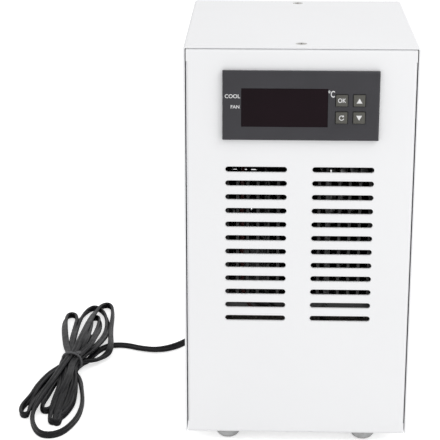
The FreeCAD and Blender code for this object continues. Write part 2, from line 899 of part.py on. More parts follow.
def make_heat_sink():
    """Extruded base with upright fins that run from front to rear."""
    half = sink_width / 2
    base_top = sink_bottom_z + sink_base
    base = box(-half, half, sink_front_y, sink_rear_y, sink_bottom_z, base_top)
    pitch = (sink_width - fin_thickness) / (fin_count - 1)
    fins = []
    for index in range(fin_count):
        x0 = -half + index * pitch
        fins.append(box(x0, x0 + fin_thickness, sink_front_y, sink_rear_y,
                        base_top - 0.5, base_top + fin_height))
    body = fuse([base] + fins)
    holes = []
    depth = stud_length + stud_hole_margin
    for x, y in standoff_places() + clamp_places():
        holes.append(rod_z(screw_radius + thread_clearance, x, y, sink_bottom_z - 1, sink_bottom_z + depth))
    return cut(body, holes)


def make_standoffs():
    pillars = []
    for x, y in standoff_places():
        pillar = hexagon_prism(standoff_flats, vec(x, y, floor_z), AXIS_Z, sink_bottom_z - floor_z)
        stud = rod_z(screw_radius, x, y, sink_bottom_z, sink_bottom_z + stud_length)
        hole = rod_z(screw_radius + thread_clearance, x, y, floor_z - 1, floor_z + standoff_screw_length)
        pillars.append(cut(fuse([pillar, stud]), [hole]))
    return pillars


def make_standoff_screws():
    screws = []
    for x, y in standoff_places():
        head = rod_z(standoff_screw_head_radius, x, y, base_z - standoff_screw_head_height, base_z)
        shank = rod_z(screw_radius, x, y, base_z, base_z + standoff_screw_length)
        z0 = base_z - standoff_screw_head_height
        along = block(x, y, z0, cross_length, cross_width, cross_depth)
        across = block(x, y, z0, cross_width, cross_length, cross_depth)
        screws.append(cut(fuse([head, shank]), [along, across]))
    return screws


def make_peltier_module():
    return block(0, sink_y, module_bottom_z, module_size, module_size, module_thickness)


def make_water_block():
    """Block with a winding channel that is open below until the lid closes it."""
    body = block(0, sink_y, block_bottom_z, block_size, block_size, block_height)
    pitch = (channel_span - channel_width) / (channel_passes - 1)
    first = -channel_span / 2 + channel_width / 2
    half_span = channel_span / 2
    tools = []
    for index in range(channel_passes):
        x = first + index * pitch
        tools.append(box(x - channel_width / 2, x + channel_width / 2,
                         sink_y - half_span, sink_y + half_span,
                         block_bottom_z - 1, block_bottom_z + channel_depth))
    for index in range(channel_passes - 1):
        x0 = first + index * pitch
        end = -1 if index % 2 == 0 else 1
        y_far = sink_y + end * half_span
        y_near = y_far - end * channel_width
        tools.append(box(x0, x0 + pitch, min(y_far, y_near), max(y_far, y_near),
                         block_bottom_z - 1, block_bottom_z + channel_depth))
    for side in (-1, 1):
        tools.append(rod_y(tail_thread_radius + thread_clearance, side * tail_offset, tail_z,
                           block_rear_y - tail_thread_length - 1, block_rear_y + 1))
    tools.append(rod_y(probe_radius + probe_clearance, probe_offset, probe_z,
                       block_front_y - 1, block_front_y + probe_pocket_depth))
    for x, y in clamp_places():
        tools.append(rod_z(screw_radius + clamp_hole_clearance, x, y,
                           block_bottom_z - 1, module_bottom_z + 1))
    for x, y in lid_screw_places():
        tools.append(rod_z(lid_screw_radius + thread_clearance, x, y,
                           block_bottom_z - 1, block_bottom_z + lid_screw_depth))
    return cut(body, tools)


def lid_hole_tools(z0, z1):
    tools = []
    for x, y in clamp_places():
        tools.append(rod_z(screw_radius + clamp_hole_clearance, x, y, z0, z1))
    for x, y in lid_screw_places():
        tools.append(rod_z(lid_screw_radius + clamp_hole_clearance, x, y, z0, z1))
    return tools


def make_water_block_lid():
    plate = block(0, sink_y, lid_bottom_z, block_size, block_size, lid_thickness)
    return cut(plate, lid_hole_tools(lid_bottom_z - 1, lid_top_z + 1))


def make_lid_gasket():
    sheet = block(0, sink_y, lid_top_z, block_size, block_size, gasket_thickness)
    window = block(0, sink_y, lid_top_z - 1, channel_span + 1, channel_span + 1, gasket_thickness + 2)
    return cut(sheet, [window] + lid_hole_tools(lid_top_z - 1, block_bottom_z + 1))


def make_lid_screws():
    screws = []
    for x, y in lid_screw_places():
        head = rod_z(lid_head_radius, x, y, lid_bottom_z - lid_head_height, lid_bottom_z)
        shank = rod_z(lid_screw_radius, x, y, lid_bottom_z, block_bottom_z + lid_screw_depth - 0.5)
        screws.append(fuse([head, shank]))
    return screws


def make_clamp_screws():
    screws = []
    for x, y in clamp_places():
        head = rod_z(clamp_head_radius, x, y, lid_bottom_z - clamp_head_height, lid_bottom_z)
        shank = rod_z(screw_radius, x, y, lid_bottom_z, sink_bottom_z + stud_length)
        screws.append(fuse([head, shank]))
    return screws


def make_insulation_cradle():
    """Foam block that wraps the water block and stands on the floor."""
    body = block(0, sink_y, floor_z, 2 * foam_half, 2 * foam_half, module_bottom_z - floor_z)
    pocket_size = block_size + 2 * foam_clearance
    tools = [block(0, sink_y, lid_bottom_z, pocket_size, pocket_size, module_bottom_z - lid_bottom_z + 1)]
    for x, y in clamp_places():
        tools.append(rod_z(clamp_head_radius + foam_clearance, x, y,
                           lid_bottom_z - clamp_head_height - foam_clearance, lid_bottom_z + 1))
    for x, y in lid_screw_places():
        tools.append(rod_z(lid_head_radius + foam_clearance, x, y,
                           lid_bottom_z - lid_head_height - foam_clearance, lid_bottom_z + 1))
    notch = tail_hex_flats / math.sqrt(3) + foam_clearance
    y0 = block_rear_y
    y1 = sink_y + foam_half + 1
    for side in (-1, 1):
        x = side * tail_offset
        tools.append(fuse([rod_y(notch, x, tail_z, y0, y1),
                           box(x - notch, x + notch, y0, y1, tail_z, module_bottom_z + 1)]))
    lead_notch = probe_radius + foam_clearance
    tools.append(box(probe_offset - lead_notch, probe_offset + lead_notch,
                     sink_y - foam_half - 1, block_front_y,
                     probe_z - lead_notch, module_bottom_z + 1))
    return cut(body, tools)


def make_insulation_frame():
    """Foam sheet round the module, with channels for its two leads."""
    sheet = block(0, sink_y, module_bottom_z, 2 * foam_half, 2 * foam_half, module_thickness)
    window_size = module_size + 2 * foam_clearance
    tools = [block(0, sink_y, module_bottom_z - 1, window_size, window_size, module_thickness + 2)]
    for x, y in clamp_places():
        tools.append(rod_z(screw_radius + clamp_hole_clearance, x, y,
                           module_bottom_z - 1, sink_bottom_z + 1))
    half = foam_lead_channel / 2
    lead_z = (module_bottom_z + sink_bottom_z) / 2
    for side in (-1, 1):
        x = side * module_lead_offset
        tools.append(box(x - half, x + half, sink_y - foam_half - 1, sink_y - module_size / 2,
                         lead_z - thin_lead_radius - foam_clearance, sink_bottom_z + 1))
    return cut(sheet, tools)


def make_hose_tail(side):
    """Turned tail: threaded end, hexagon, plain tube and barbs behind the panel."""
    x = side * tail_offset
    hex_y = block_rear_y + seal_thickness
    tip_y = rear_y + tail_reach
    barbs_y = tip_y - barb_count * barb_length
    profile = [
        (tail_bore_radius, block_rear_y - tail_thread_length),
        (tail_thread_radius, block_rear_y - tail_thread_length),
        (tail_thread_radius, hex_y),
        (tail_radius, hex_y),
        (tail_radius, barbs_y),
    ]
    for index in range(barb_count):
        y = barbs_y + index * barb_length
        profile.append((tail_radius + barb_height, y))
        profile.append((tail_radius, y + barb_length))
    profile.append((tail_bore_radius, tip_y))
    turned = turned_y(profile, x, tail_z)
    collar = hexagon_prism(tail_hex_flats, vec(x, hex_y, tail_z), AXIS_Y, tail_hex_length)
    collar = cut(collar, [rod_y(tail_bore_radius, x, tail_z, hex_y - 1, hex_y + tail_hex_length + 1)])
    return fuse([turned, collar])


def make_hose_tail_seals():
    seals = []
    for side in (-1, 1):
        x = side * tail_offset
        ring = rod_y(seal_radius, x, tail_z, block_rear_y, block_rear_y + seal_thickness)
        bore = rod_y(tail_thread_radius + thread_clearance, x, tail_z, block_rear_y - 1, block_rear_y + 2)
        seals.append(cut(ring, [bore]))
    return seals


def make_rear_grommets():
    """Grooved rubber rings in the rear panel round the hose tails."""
    bore = tail_radius + grommet_clearance
    waist = grommet_hole_radius - thread_clearance
    profile = [
        (bore, rear_inner_y - grommet_lip),
        (grommet_flange_radius, rear_inner_y - grommet_lip),
        (grommet_flange_radius, rear_inner_y),
        (waist, rear_inner_y),
        (waist, rear_y),
        (grommet_flange_radius, rear_y),
        (grommet_flange_radius, rear_y + grommet_lip),
        (bore, rear_y + grommet_lip),
    ]
    return [turned_y(profile, side * tail_offset, tail_z) for side in (-1, 1)]


def make_temperature_probe():
    y1 = block_front_y + probe_pocket_depth - probe_clearance
    return rod_y(probe_radius, probe_offset, probe_z, y1 - probe_length, y1)


def lead_y():
    return front_inner_y + lead_front_gap


def over_sink_z():
    return sink_bottom_z + sink_base + fin_height + lead_top_clearance


def terminal_run(pole, x_from, z_from):
    """Last points of a lead, from over the heat sink into a terminal."""
    x = terminal_x(pole)
    y = terminal_rear_y
    z = terminal_hole_z()
    return [
        (x_from, y + 6.0, z_from),
        (x_from + (x - x_from) * 0.6, y + 21.0, z_from + (z - z_from) * 0.55),
        (x, y + 14.0, z),
        (x, y - terminal_hole_depth / 2, z),
    ]


def make_module_lead_red():
    z = (module_bottom_z + sink_bottom_z) / 2
    x = module_lead_offset
    points = [
        (x, sink_y - module_size / 2, z),
        (x, sink_front_y - 0.5, z),
        (x - 7.0, lead_y(), z + 1.0),
        (red_lead_x + 6.0, lead_y(), z + 2.5),
        (red_lead_x, lead_y(), z + 11.0),
        (red_lead_x - 0.4, lead_y(), over_sink_z() - 8.0),
        (red_lead_x + 1.0, lead_y() + 10.0, over_sink_z()),
    ]
    return tube(points + terminal_run(2, red_lead_x + 1.5, over_sink_z() + 0.5), thin_lead_radius)[0]


def make_module_lead_black():
    z = (module_bottom_z + sink_bottom_z) / 2
    x = -module_lead_offset
    y = lead_y() + black_lead_setback
    points = [
        (x, sink_y - module_size / 2, z),
        (x, sink_front_y - 0.5, z),
        (black_lead_x + 3.0, y, z + 4.0),
        (black_lead_x, y, z + 15.0),
        (black_lead_x + 0.4, y, over_sink_z() - 8.0),
        (black_lead_x, y + 8.0, over_sink_z()),
    ]
    return tube(points + terminal_run(3, black_lead_x + 0.5, over_sink_z() + 0.5), thin_lead_radius)[0]


def make_probe_lead():
    start_y = block_front_y + probe_pocket_depth - probe_clearance - probe_length
    points = [
        (probe_offset, start_y, probe_z),
        (probe_offset, start_y - 6.0, probe_z),
        (probe_offset + 0.5, lead_y() + 1.0, probe_z + 4.0),
        (probe_offset, lead_y(), probe_z + 16.0),
        (probe_offset + 0.3, lead_y(), over_sink_z() - 8.0),
        (probe_offset, lead_y() + 10.0, over_sink_z()),
    ]
    return tube(points + terminal_run(5, probe_offset + 0.5, over_sink_z() + 0.5), thin_lead_radius)[0]


def make_fan_lead():
    top = fan_z + fan_size / 2
    y = fan_front_y + fan_depth / 2
    points = [
        (3.0, y, top),
        (3.0, y, top + 9.0),
        (4.0, y - 6.0, terminal_hole_z() - 3.0),
        (terminal_x(4), terminal_rear_y + 12.0, terminal_hole_z()),
        (terminal_x(4), terminal_rear_y - terminal_hole_depth / 2, terminal_hole_z()),
    ]
    return tube(points, thin_lead_radius)[0]


def make_supply_lead():
    side_x = -(fan_size / 2 + 8.0)
    x = terminal_x(0)
    points = [
        (bush_x, rear_y + cord_joint_depth, bush_z),
        (bush_x, rear_inner_y - bush_inner_length - 9.0, bush_z),
        (bush_x - 12.0, rear_inner_y - 24.0, bush_z + 4.0),
        (side_x, rear_inner_y - 20.0, bush_z + 20.0),
        (side_x + 0.5, rear_inner_y - 16.0, fan_z),
        (side_x, rear_inner_y - 18.0, fan_z + fan_size / 2 + 4.0),
        (x - 10.0, terminal_rear_y + 22.0, terminal_hole_z() - 3.0),
        (x, terminal_rear_y + 11.0, terminal_hole_z()),
        (x, terminal_rear_y - terminal_hole_depth / 2, terminal_hole_z()),
    ]
    return tube(points, cord_radius)[0]


def make_cord_bush():
    """Strain relief bush snapped into the rear panel, with a tapered nozzle."""
    bore = cord_radius + cord_clearance
    waist = bush_hole_radius - bush_clearance
    nozzle_y = rear_y + bush_flange
    profile = [
        (bore, rear_inner_y - bush_inner_length),
        (waist - 0.8, rear_inner_y - bush_inner_length),
        (bush_inner_radius, rear_inner_y - bush_clearance),
        (waist, rear_inner_y - bush_clearance),
        (waist, rear_y),
        (bush_flange_radius, rear_y),
        (bush_flange_radius, nozzle_y),
        (bush_nozzle_radius, nozzle_y),
        (bush_tip_radius, nozzle_y + bush_nozzle_length),
        (bore, nozzle_y + bush_nozzle_length),
    ]
    return turned_y(profile, bush_x, bush_z)


def make_power_cord():
    cord, length = tube(lead_points, cord_radius)
    radii = bend_radii([vec(*point) for point in lead_points])
    section = math.pi * cord_radius ** 2
    print("power cord radii", [round(radius, 1) for radius in radii])
    print("power cord length", round(length, 2), "volume", round(cord.Volume, 2),
          "section x length", round(section * length, 2))
    return cord


def hank_ellipse(section, grow):
    """Outline of the hank across its length, as a wire."""
    y, shift, width, height, lift = section
    centre = vec(hank_centre_x + shift, y, lift + height / 2)
    ellipse = Part.Ellipse(vec(0, 0, 0), width / 2 + grow, height / 2 + grow)
    edge = ellipse.toShape()
    edge.rotate(vec(0, 0, 0), AXIS_X, 90)
    edge.translate(centre)
    return Part.Wire(edge)


def plug_grip_y():
    """Plane of the grip's nose, where the sleeve comes out."""
    return plug_start_y + plug_relief_length + plug_body_length


def plug_tip_y():
    return plug_grip_y() + plug_sleeve_length


def make_power_cord_hank():
    """Outer shape of the tied bundle, with a pocket under it for the plug."""
    wires = [hank_ellipse(section, 0) for section in hank_sections]
    bundle = Part.makeLoft(wires, True, True)
    radius = plug_radius + plug_pocket_clearance
    y0 = plug_start_y
    y1 = plug_tip_y() + plug_pocket_clearance
    pocket = fuse([rod_y(radius, plug_x, plug_radius, y0, y1),
                   box(plug_x - radius, plug_x + radius, y0, y1, -1, plug_radius)])
    return cut(bundle, [pocket])


def tied_section():
    return [section for section in hank_sections if section[0] > tie_y][0]


def make_cord_tie():
    start = (tie_y - tie_width / 2,) + tied_section()[1:]
    outer = Part.Face(hank_ellipse(start, tie_clearance + tie_thickness)).extrude(AXIS_Y * tie_width)
    inner = Part.Face(hank_ellipse(start, tie_clearance)).extrude(AXIS_Y * tie_width)
    return cut(outer, [inner])


def make_plug_body():
    """Moulded grip with a flat-fronted nose and a tapered relief."""
    body_y = plug_start_y + plug_relief_length
    grip_y = plug_grip_y()
    profile = [
        (0, plug_start_y),
        (cord_radius + 0.6, plug_start_y),
        (plug_neck_radius, body_y),
        (plug_radius - 0.9, body_y + 1.5),
        (plug_radius, body_y + plug_body_length * 0.45),
        (plug_radius, grip_y - 1.0),
        (plug_radius - 0.6, grip_y),
        (0, grip_y),
    ]
    body = turned_y(profile, plug_x, plug_radius)
    seat = rod_y(plug_sleeve_radius + thread_clearance, plug_x, plug_radius, grip_y - plug_seat, grip_y + 1)
    return cut(body, [seat])


def make_plug_sleeve():
    y0 = plug_grip_y() - plug_seat
    outer = rod_y(plug_sleeve_radius, plug_x, plug_radius, y0, plug_tip_y())
    inner = rod_y(plug_sleeve_bore, plug_x, plug_radius, y0 - 1, plug_tip_y() + 1)
    return cut(outer, [inner])


def make_plug_insulator():
    y0 = plug_grip_y() - plug_seat
    outer = rod_y(plug_sleeve_bore - thread_clearance, plug_x, plug_radius, y0, plug_tip_y() - 0.4)
    bore = rod_y(plug_pin_bore, plug_x, plug_radius, plug_grip_y(), plug_tip_y() + 1)
    return cut(outer, [bore])


def build_nodes():
    nodes = {
        "cover": make_cover(),
        "chassis": make_chassis(),
        "cover_screws": make_cover_screws(),
        "cover_nuts": make_cover_nuts(),
        "feet": make_feet(),
        "controller_bezel": make_controller_bezel(),
        "controller_housing": make_controller_housing(),
        "controller_clips": make_controller_clips(),
        "display_window": make_display_window(),
        "display_module": make_display_module(),
        "display_board": make_display_board(),
        "main_board": make_main_board(),
        "terminal_block": make_terminal_block(),
        "button_switches": make_button_switches(),
        "fan_frame": make_fan_frame(),
        "fan_stator": make_fan_stator(),
        "fan_rotor": make_fan_rotor(),
        "fan_magnet": make_fan_magnet(),
        "fan_screws": make_fan_screws(),
        "heat_sink": make_heat_sink(),
        "standoffs": make_standoffs(),
        "standoff_screws": make_standoff_screws(),
        "peltier_module": make_peltier_module(),
        "water_block": make_water_block(),
        "water_block_lid": make_water_block_lid(),
        "lid_gasket": make_lid_gasket(),
        "lid_screws": make_lid_screws(),
        "clamp_screws": make_clamp_screws(),
        "insulation_cradle": make_insulation_cradle(),
        "insulation_frame": make_insulation_frame(),
        "hose_tail_inlet": make_hose_tail(-1),
        "hose_tail_outlet": make_hose_tail(1),
        "hose_tail_seals": make_hose_tail_seals(),
        "rear_grommets": make_rear_grommets(),
        "temperature_probe": make_temperature_probe(),
        "probe_lead": make_probe_lead(),
        "fan_lead": make_fan_lead(),
        "module_lead_red": make_module_lead_red(),
        "module_lead_black": make_module_lead_black(),
        "supply_lead": make_supply_lead(),
        "cord_bush": make_cord_bush(),
        "power_cord": make_power_cord(),
        "power_cord_hank": make_power_cord_hank(),
        "cord_tie": make_cord_tie(),
        "plug_body": make_plug_body(),
        "plug_sleeve": make_plug_sleeve(),
        "plug_insulator": make_plug_insulator(),
    }
    for name, (x, z) in button_places().items():
        nodes[name + "_button"] = make_button(x, z)
        nodes[name + "_plunger"] = make_plunger(x, z)
    return nodes


def main():
    os.makedirs("parts", exist_ok=True)
    for name, shape in build_nodes().items():
        if isinstance(shape, list):
            shape = Part.makeCompound(shape)
        bounds = shape.optimalBoundingBox(False, False)
        print(name, "solids", len(shape.Solids), "valid", shape.isValid(), "volume", round(shape.Volume, 1),
              "x", round(bounds.XMin, 2), round(bounds.XMax, 2),
              "y", round(bounds.YMin, 2), round(bounds.YMax, 2),
              "z", round(bounds.ZMin, 2), round(bounds.ZMax, 2))
        shape.exportStep(os.path.join("parts", name + ".step"))


main()
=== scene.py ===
"""Dresses the aquarium chiller: cord, controller, paint, cooling parts and stage."""
import math

import bmesh
import bpy
from mathutils import Matrix, Vector


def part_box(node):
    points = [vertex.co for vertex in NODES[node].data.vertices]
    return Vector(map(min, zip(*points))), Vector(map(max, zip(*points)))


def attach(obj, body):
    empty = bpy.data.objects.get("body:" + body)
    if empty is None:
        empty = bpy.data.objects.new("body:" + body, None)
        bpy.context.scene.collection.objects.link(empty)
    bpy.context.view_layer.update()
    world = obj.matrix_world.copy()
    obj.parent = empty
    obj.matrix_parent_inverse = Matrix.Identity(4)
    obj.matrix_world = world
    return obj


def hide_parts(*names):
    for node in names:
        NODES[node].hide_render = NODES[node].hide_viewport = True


bl_info = {
    "name": "Aquarium Chiller Dressing",
    "version": (1, 0, 0),
    "blender": (4, 5, 0),
    "location": "3D View > Sidebar > Chiller",
    "description": "Finishes, cord, tie, legends and stage for the aquarium chiller",
    "category": "Object",
}

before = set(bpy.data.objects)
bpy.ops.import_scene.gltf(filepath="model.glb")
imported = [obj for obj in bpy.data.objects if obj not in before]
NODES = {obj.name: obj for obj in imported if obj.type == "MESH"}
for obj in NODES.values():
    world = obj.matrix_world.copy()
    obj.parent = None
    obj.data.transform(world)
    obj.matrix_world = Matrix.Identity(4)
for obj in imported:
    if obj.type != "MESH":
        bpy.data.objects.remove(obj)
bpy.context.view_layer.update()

# The cord's route, point by point: x, y and z in metres, and the lean of the
# flat twin lead in degrees, 0 on its edge and 90 flat.
LEAD_OUT = [
    (-0.0220, 0.0583, 0.0180, 90), (-0.0220, 0.0764, 0.0180, 90), (-0.0290, 0.0910, 0.0105, 75),
    (-0.0420, 0.0950, 0.0045, 45), (-0.0530, 0.0845, 0.0020, 25), (-0.0570, 0.0710, 0.0020, 15),
    (-0.0620, 0.0590, 0.0020, 15), (-0.0700, 0.0492, 0.0020, 35), (-0.0792, 0.0449, 0.0020, 70),
    (-0.0890, 0.0480, 0.0016, 74), (-0.0980, 0.0529, 0.0015, 70), (-0.1068, 0.0524, 0.0015, 70),
    (-0.1110, 0.0476, 0.0016, 72), (-0.1146, 0.0414, 0.0013, 84), (-0.1169, 0.0335, 0.0012, 88),
    (-0.1186, 0.0276, 0.0013, 88), (-0.1209, 0.0224, 0.0023, 90), (-0.1245, 0.0110, 0.0023, 90),
]
WIDE_LOWER_LOOP = [
    (-0.1196, 0.0026, 0.0022, 45), (-0.1164, -0.0136, 0.0020, 12), (-0.1142, -0.0290, 0.0020, 5),
    (-0.1142, -0.0439, 0.0020, 5), (-0.1164, -0.0555, 0.0020, 5), (-0.1208, -0.0663, 0.0020, 5),
    (-0.1270, -0.0701, 0.0020, 5), (-0.1328, -0.0677, 0.0020, 5), (-0.1372, -0.0577, 0.0020, 8),
    (-0.1393, -0.0456, 0.0024, 20), (-0.1378, -0.0381, 0.0048, 60), (-0.1354, -0.0267, 0.0069, 82),
    (-0.1317, -0.0114, 0.0082, 88), (-0.1277, 0.0120, 0.0094, 90), (-0.1241, 0.0234, 0.0094, 90),
]
RIGHT_UPPER_LOOP = [
    (-0.1236, 0.0354, 0.0103, 88), (-0.1226, 0.0499, 0.0099, 88), (-0.1220, 0.0714, 0.0080, 84),
    (-0.1212, 0.0910, 0.0056, 66), (-0.1198, 0.1046, 0.0038, 32), (-0.1181, 0.1119, 0.0028, 12),
    (-0.1159, 0.1153, 0.0022, 6), (-0.1139, 0.1155, 0.0020, 5), (-0.1120, 0.1121, 0.0020, 5),
    (-0.1108, 0.1051, 0.0020, 5), (-0.1099, 0.0946, 0.0020, 8), (-0.1094, 0.0801, 0.0020, 20),
    (-0.1081, 0.0641, 0.0028, 34), (-0.1065, 0.0500, 0.0045, 48), (-0.1060, 0.0402, 0.0045, 60),
    (-0.1071, 0.0363, 0.0029, 72), (-0.1104, 0.0316, 0.0020, 108), (-0.1149, 0.0248, 0.0030, 108),
    (-0.1209, 0.0224, 0.0044, 90), (-0.1245, 0.0110, 0.0044, 90),
]
MIDDLE_LOWER_LOOP = [
    (-0.1215, -0.0047, 0.0036, 80), (-0.1199, -0.0182, 0.0026, 40), (-0.1192, -0.0311, 0.0022, 16),
    (-0.1217, -0.0443, 0.0021, 8), (-0.1256, -0.0513, 0.0020, 6), (-0.1259, -0.0536, 0.0020, 5),
    (-0.1282, -0.0536, 0.0020, 5), (-0.1291, -0.0510, 0.0021, 10), (-0.1295, -0.0465, 0.0023, 24),
    (-0.1293, -0.0402, 0.0028, 60), (-0.1288, -0.0303, 0.0048, 82), (-0.1274, -0.0147, 0.0062, 86),
    (-0.1309, 0.0130, 0.0073, 90), (-0.1273, 0.0244, 0.0073, 90),
]
LEFT_UPPER_LOOP = [
    (-0.1307, 0.0356, 0.0064, 86), (-0.1341, 0.0551, 0.0050, 84), (-0.1367, 0.0728, 0.0038, 74),
    (-0.1383, 0.0876, 0.0026, 30), (-0.1379, 0.0970, 0.0020, 8), (-0.1352, 0.0992, 0.0020, 5),
    (-0.1322, 0.0964, 0.0020, 6), (-0.1306, 0.0878, 0.0023, 30), (-0.1299, 0.0712, 0.0034, 76),
    (-0.1295, 0.0530, 0.0048, 86), (-0.1273, 0.0244, 0.0048, 90), (-0.1309, 0.0130, 0.0048, 90),
]
LEFT_LOWER_LOOP = [
    (-0.1357, 0.0043, 0.0046, 84), (-0.1388, -0.0061, 0.0044, 82), (-0.1410, -0.0150, 0.0038, 78),
    (-0.1422, -0.0232, 0.0030, 66), (-0.1444, -0.0301, 0.0024, 30), (-0.1461, -0.0358, 0.0020, 10),
    (-0.1460, -0.0414, 0.0020, 8), (-0.1446, -0.0458, 0.0020, 8), (-0.1420, -0.0460, 0.0020, 8),
    (-0.1415, -0.0429, 0.0022, 16), (-0.1413, -0.0350, 0.0026, 50), (-0.1407, -0.0246, 0.0024, 76),
    (-0.1388, -0.0116, 0.0023, 86), (-0.1352, 0.0007, 0.0023, 88), (-0.1309, 0.0130, 0.0023, 90),
    (-0.1273, 0.0244, 0.0023, 90),
]
INNER_UPPER_LOOP = [
    (-0.1297, 0.0447, 0.0015, 88), (-0.1301, 0.0614, 0.0017, 86), (-0.1302, 0.0744, 0.0021, 70),
    (-0.1298, 0.0877, 0.0022, 50), (-0.1278, 0.1025, 0.0020, 20), (-0.1241, 0.1111, 0.0020, 6),
    (-0.1195, 0.1096, 0.0020, 8), (-0.1151, 0.1003, 0.0021, 14), (-0.1118, 0.0845, 0.0025, 28),
    (-0.1106, 0.0667, 0.0032, 64), (-0.1127, 0.0495, 0.0046, 84), (-0.1159, 0.0335, 0.0064, 88),
    (-0.1209, 0.0224, 0.0065, 90), (-0.1245, 0.0110, 0.0065, 90),
]
INNER_LOWER_LOOP = [
    (-0.1210, -0.0100, 0.0060, 84), (-0.1219, -0.0227, 0.0046, 82), (-0.1224, -0.0334, 0.0032, 76),
    (-0.1237, -0.0440, 0.0026, 40), (-0.1239, -0.0500, 0.0020, 8), (-0.1239, -0.0545, 0.0020, 5),
    (-0.1259, -0.0547, 0.0020, 5), (-0.1267, -0.0519, 0.0023, 16), (-0.1262, -0.0443, 0.0034, 66),
    (-0.1252, -0.0330, 0.0054, 82), (-0.1243, -0.0179, 0.0070, 87), (-0.1277, 0.0120, 0.0073, 90),
    (-0.1241, 0.0234, 0.0073, 90),
]
MIDDLE_UPPER_LOOP = [
    (-0.1202, 0.0362, 0.0100, 88), (-0.1201, 0.0503, 0.0094, 88), (-0.1209, 0.0674, 0.0068, 80),
    (-0.1219, 0.0815, 0.0042, 50), (-0.1223, 0.0896, 0.0028, 16), (-0.1218, 0.0942, 0.0020, 6),
    (-0.1189, 0.0943, 0.0020, 6), (-0.1175, 0.0904, 0.0021, 12), (-0.1165, 0.0828, 0.0025, 30),
    (-0.1160, 0.0688, 0.0042, 66), (-0.1165, 0.0512, 0.0070, 84), (-0.1172, 0.0358, 0.0086, 88),
    (-0.1209, 0.0224, 0.0086, 90), (-0.1245, 0.0110, 0.0086, 90),
]
LAST_LOWER_LOOP = [
    (-0.1234, -0.0096, 0.0093, 87), (-0.1252, -0.0228, 0.0074, 86), (-0.1271, -0.0302, 0.0048, 80),
    (-0.1290, -0.0339, 0.0025, 45), (-0.1302, -0.0379, 0.0020, 12), (-0.1317, -0.0399, 0.0020, 5),
    (-0.1338, -0.0401, 0.0020, 5), (-0.1351, -0.0378, 0.0020, 8), (-0.1354, -0.0319, 0.0022, 40),
    (-0.1343, -0.0230, 0.0028, 76), (-0.1330, -0.0126, 0.0034, 84), (-0.1309, -0.0023, 0.0042, 86),
    (-0.1242, 0.0195, 0.0036, 90), (-0.1218, 0.0246, 0.0042, 90), (-0.1212, 0.0285, 0.0042, 90),
]
CORD_ROUTE = (LEAD_OUT + WIDE_LOWER_LOOP + RIGHT_UPPER_LOOP + MIDDLE_LOWER_LOOP + LEFT_UPPER_LOOP
              + LEFT_LOWER_LOOP + INNER_UPPER_LOOP + INNER_LOWER_LOOP + MIDDLE_UPPER_LOOP
              + LAST_LOWER_LOOP)

# The tie: where its ring stands, the way it runs across the bundle, half its
# width, how square its corners are, and the twist of its two ends.
TIE_CENTRE = (-0.1256, 0.0177)
TIE_ACROSS = (0.953, -0.302, 0.0)
TIE_HALF_WIDTH = 0.0059
TIE_SQUARENESS = 0.95
TIE_SINK = 0.0003
TWIST_ROOT = 0.0030
TWIST_REACH = (0.0014, 0.0052, -0.0014)
TWIST_RADIUS = 0.0006
TWIST_HALF_TURNS = 4

# The air slots in the front: two columns of round-ended slots.
SLOT_COLUMNS = 2
SLOT_ROWS = 12
SLOT_HALF_LENGTH = 0.0150
SLOT_RADIUS = 0.0014
SLOT_COLUMN_PITCH = 0.0422
SLOT_FIELD_HEIGHT = 0.07722
SLOT_FIELD_MIDDLE = 0.1076

# Printed legends: x and z of their centres, and their thickness.
COOL_PLACE = (-0.0327, 0.18305)
FAN_PLACE = (-0.0314, 0.1779)
DEGREE_PLACE = (0.0145, 0.1843)
INK_PROUD = 0.00003
INK_SUNK = 0.00001

# The photograph's view.
CAMERA_PLACE = (-0.015888, -0.804064, 0.359942)
CAMERA_PITCH = 71.897
CAMERA_YAW = 1.779
CAMERA_LENS = 128.71
CAMERA_SENSOR = 36.0

# The stage: floor, even surround and one lamp.
FLOOR_REACH = 2.5
FLOOR_BOUNCE = 0.97
FLOOR_SEEN = 0.80
FLOOR_GLOW = 0.62
SURROUND_COLOUR = (0.990, 0.990, 0.996, 1.0)
SURROUND_STRENGTH = 0.865
LAMP_PLACE = (0.80, -0.62, 1.00)
LAMP_TARGET = (0.0, -0.05, 0.1)
LAMP_SIZE = 0.6
LAMP_POWER = 4.3
WHITE = (1.0, 1.0, 1.0, 1.0)


class ChillerSizes(bpy.types.PropertyGroup):
    cord_width: bpy.props.FloatProperty(
        name="Cord width", description="Width of the flat twin lead", default=0.0039, unit="LENGTH")
    cord_thickness: bpy.props.FloatProperty(
        name="Cord thickness", description="Thickness of the flat twin lead", default=0.0020,
        unit="LENGTH")
    cord_length: bpy.props.FloatProperty(
        name="Cord length", description="Length of the lead from the box to its plug", default=1.65,
        unit="LENGTH")
    cord_steps: bpy.props.IntProperty(
        name="Cord steps", description="Rings between two points of the route", default=16)
    tie_wire: bpy.props.FloatProperty(
        name="Tie wire", description="Diameter of the coated wire round the hank", default=0.0013,
        unit="LENGTH")
    gland_ribs: bpy.props.IntProperty(
        name="Gland ribs", description="Ribs on the cord gland's nozzle", default=5)
    plug_ribs: bpy.props.IntProperty(
        name="Grip ribs", description="Ribs on the plug's grip", default=6)
    slot_lip: bpy.props.FloatProperty(
        name="Slot lip", description="Radius of the paint's build-up along a slot", default=0.00016,
        unit="LENGTH")
    legend_height: bpy.props.FloatProperty(
        name="Legend height", description="Height of the words beside the display", default=0.0021,
        unit="LENGTH")
    key_softness: bpy.props.FloatProperty(
        name="Key softness", description="Rounding of the key caps' edges", default=0.0004,
        unit="LENGTH")


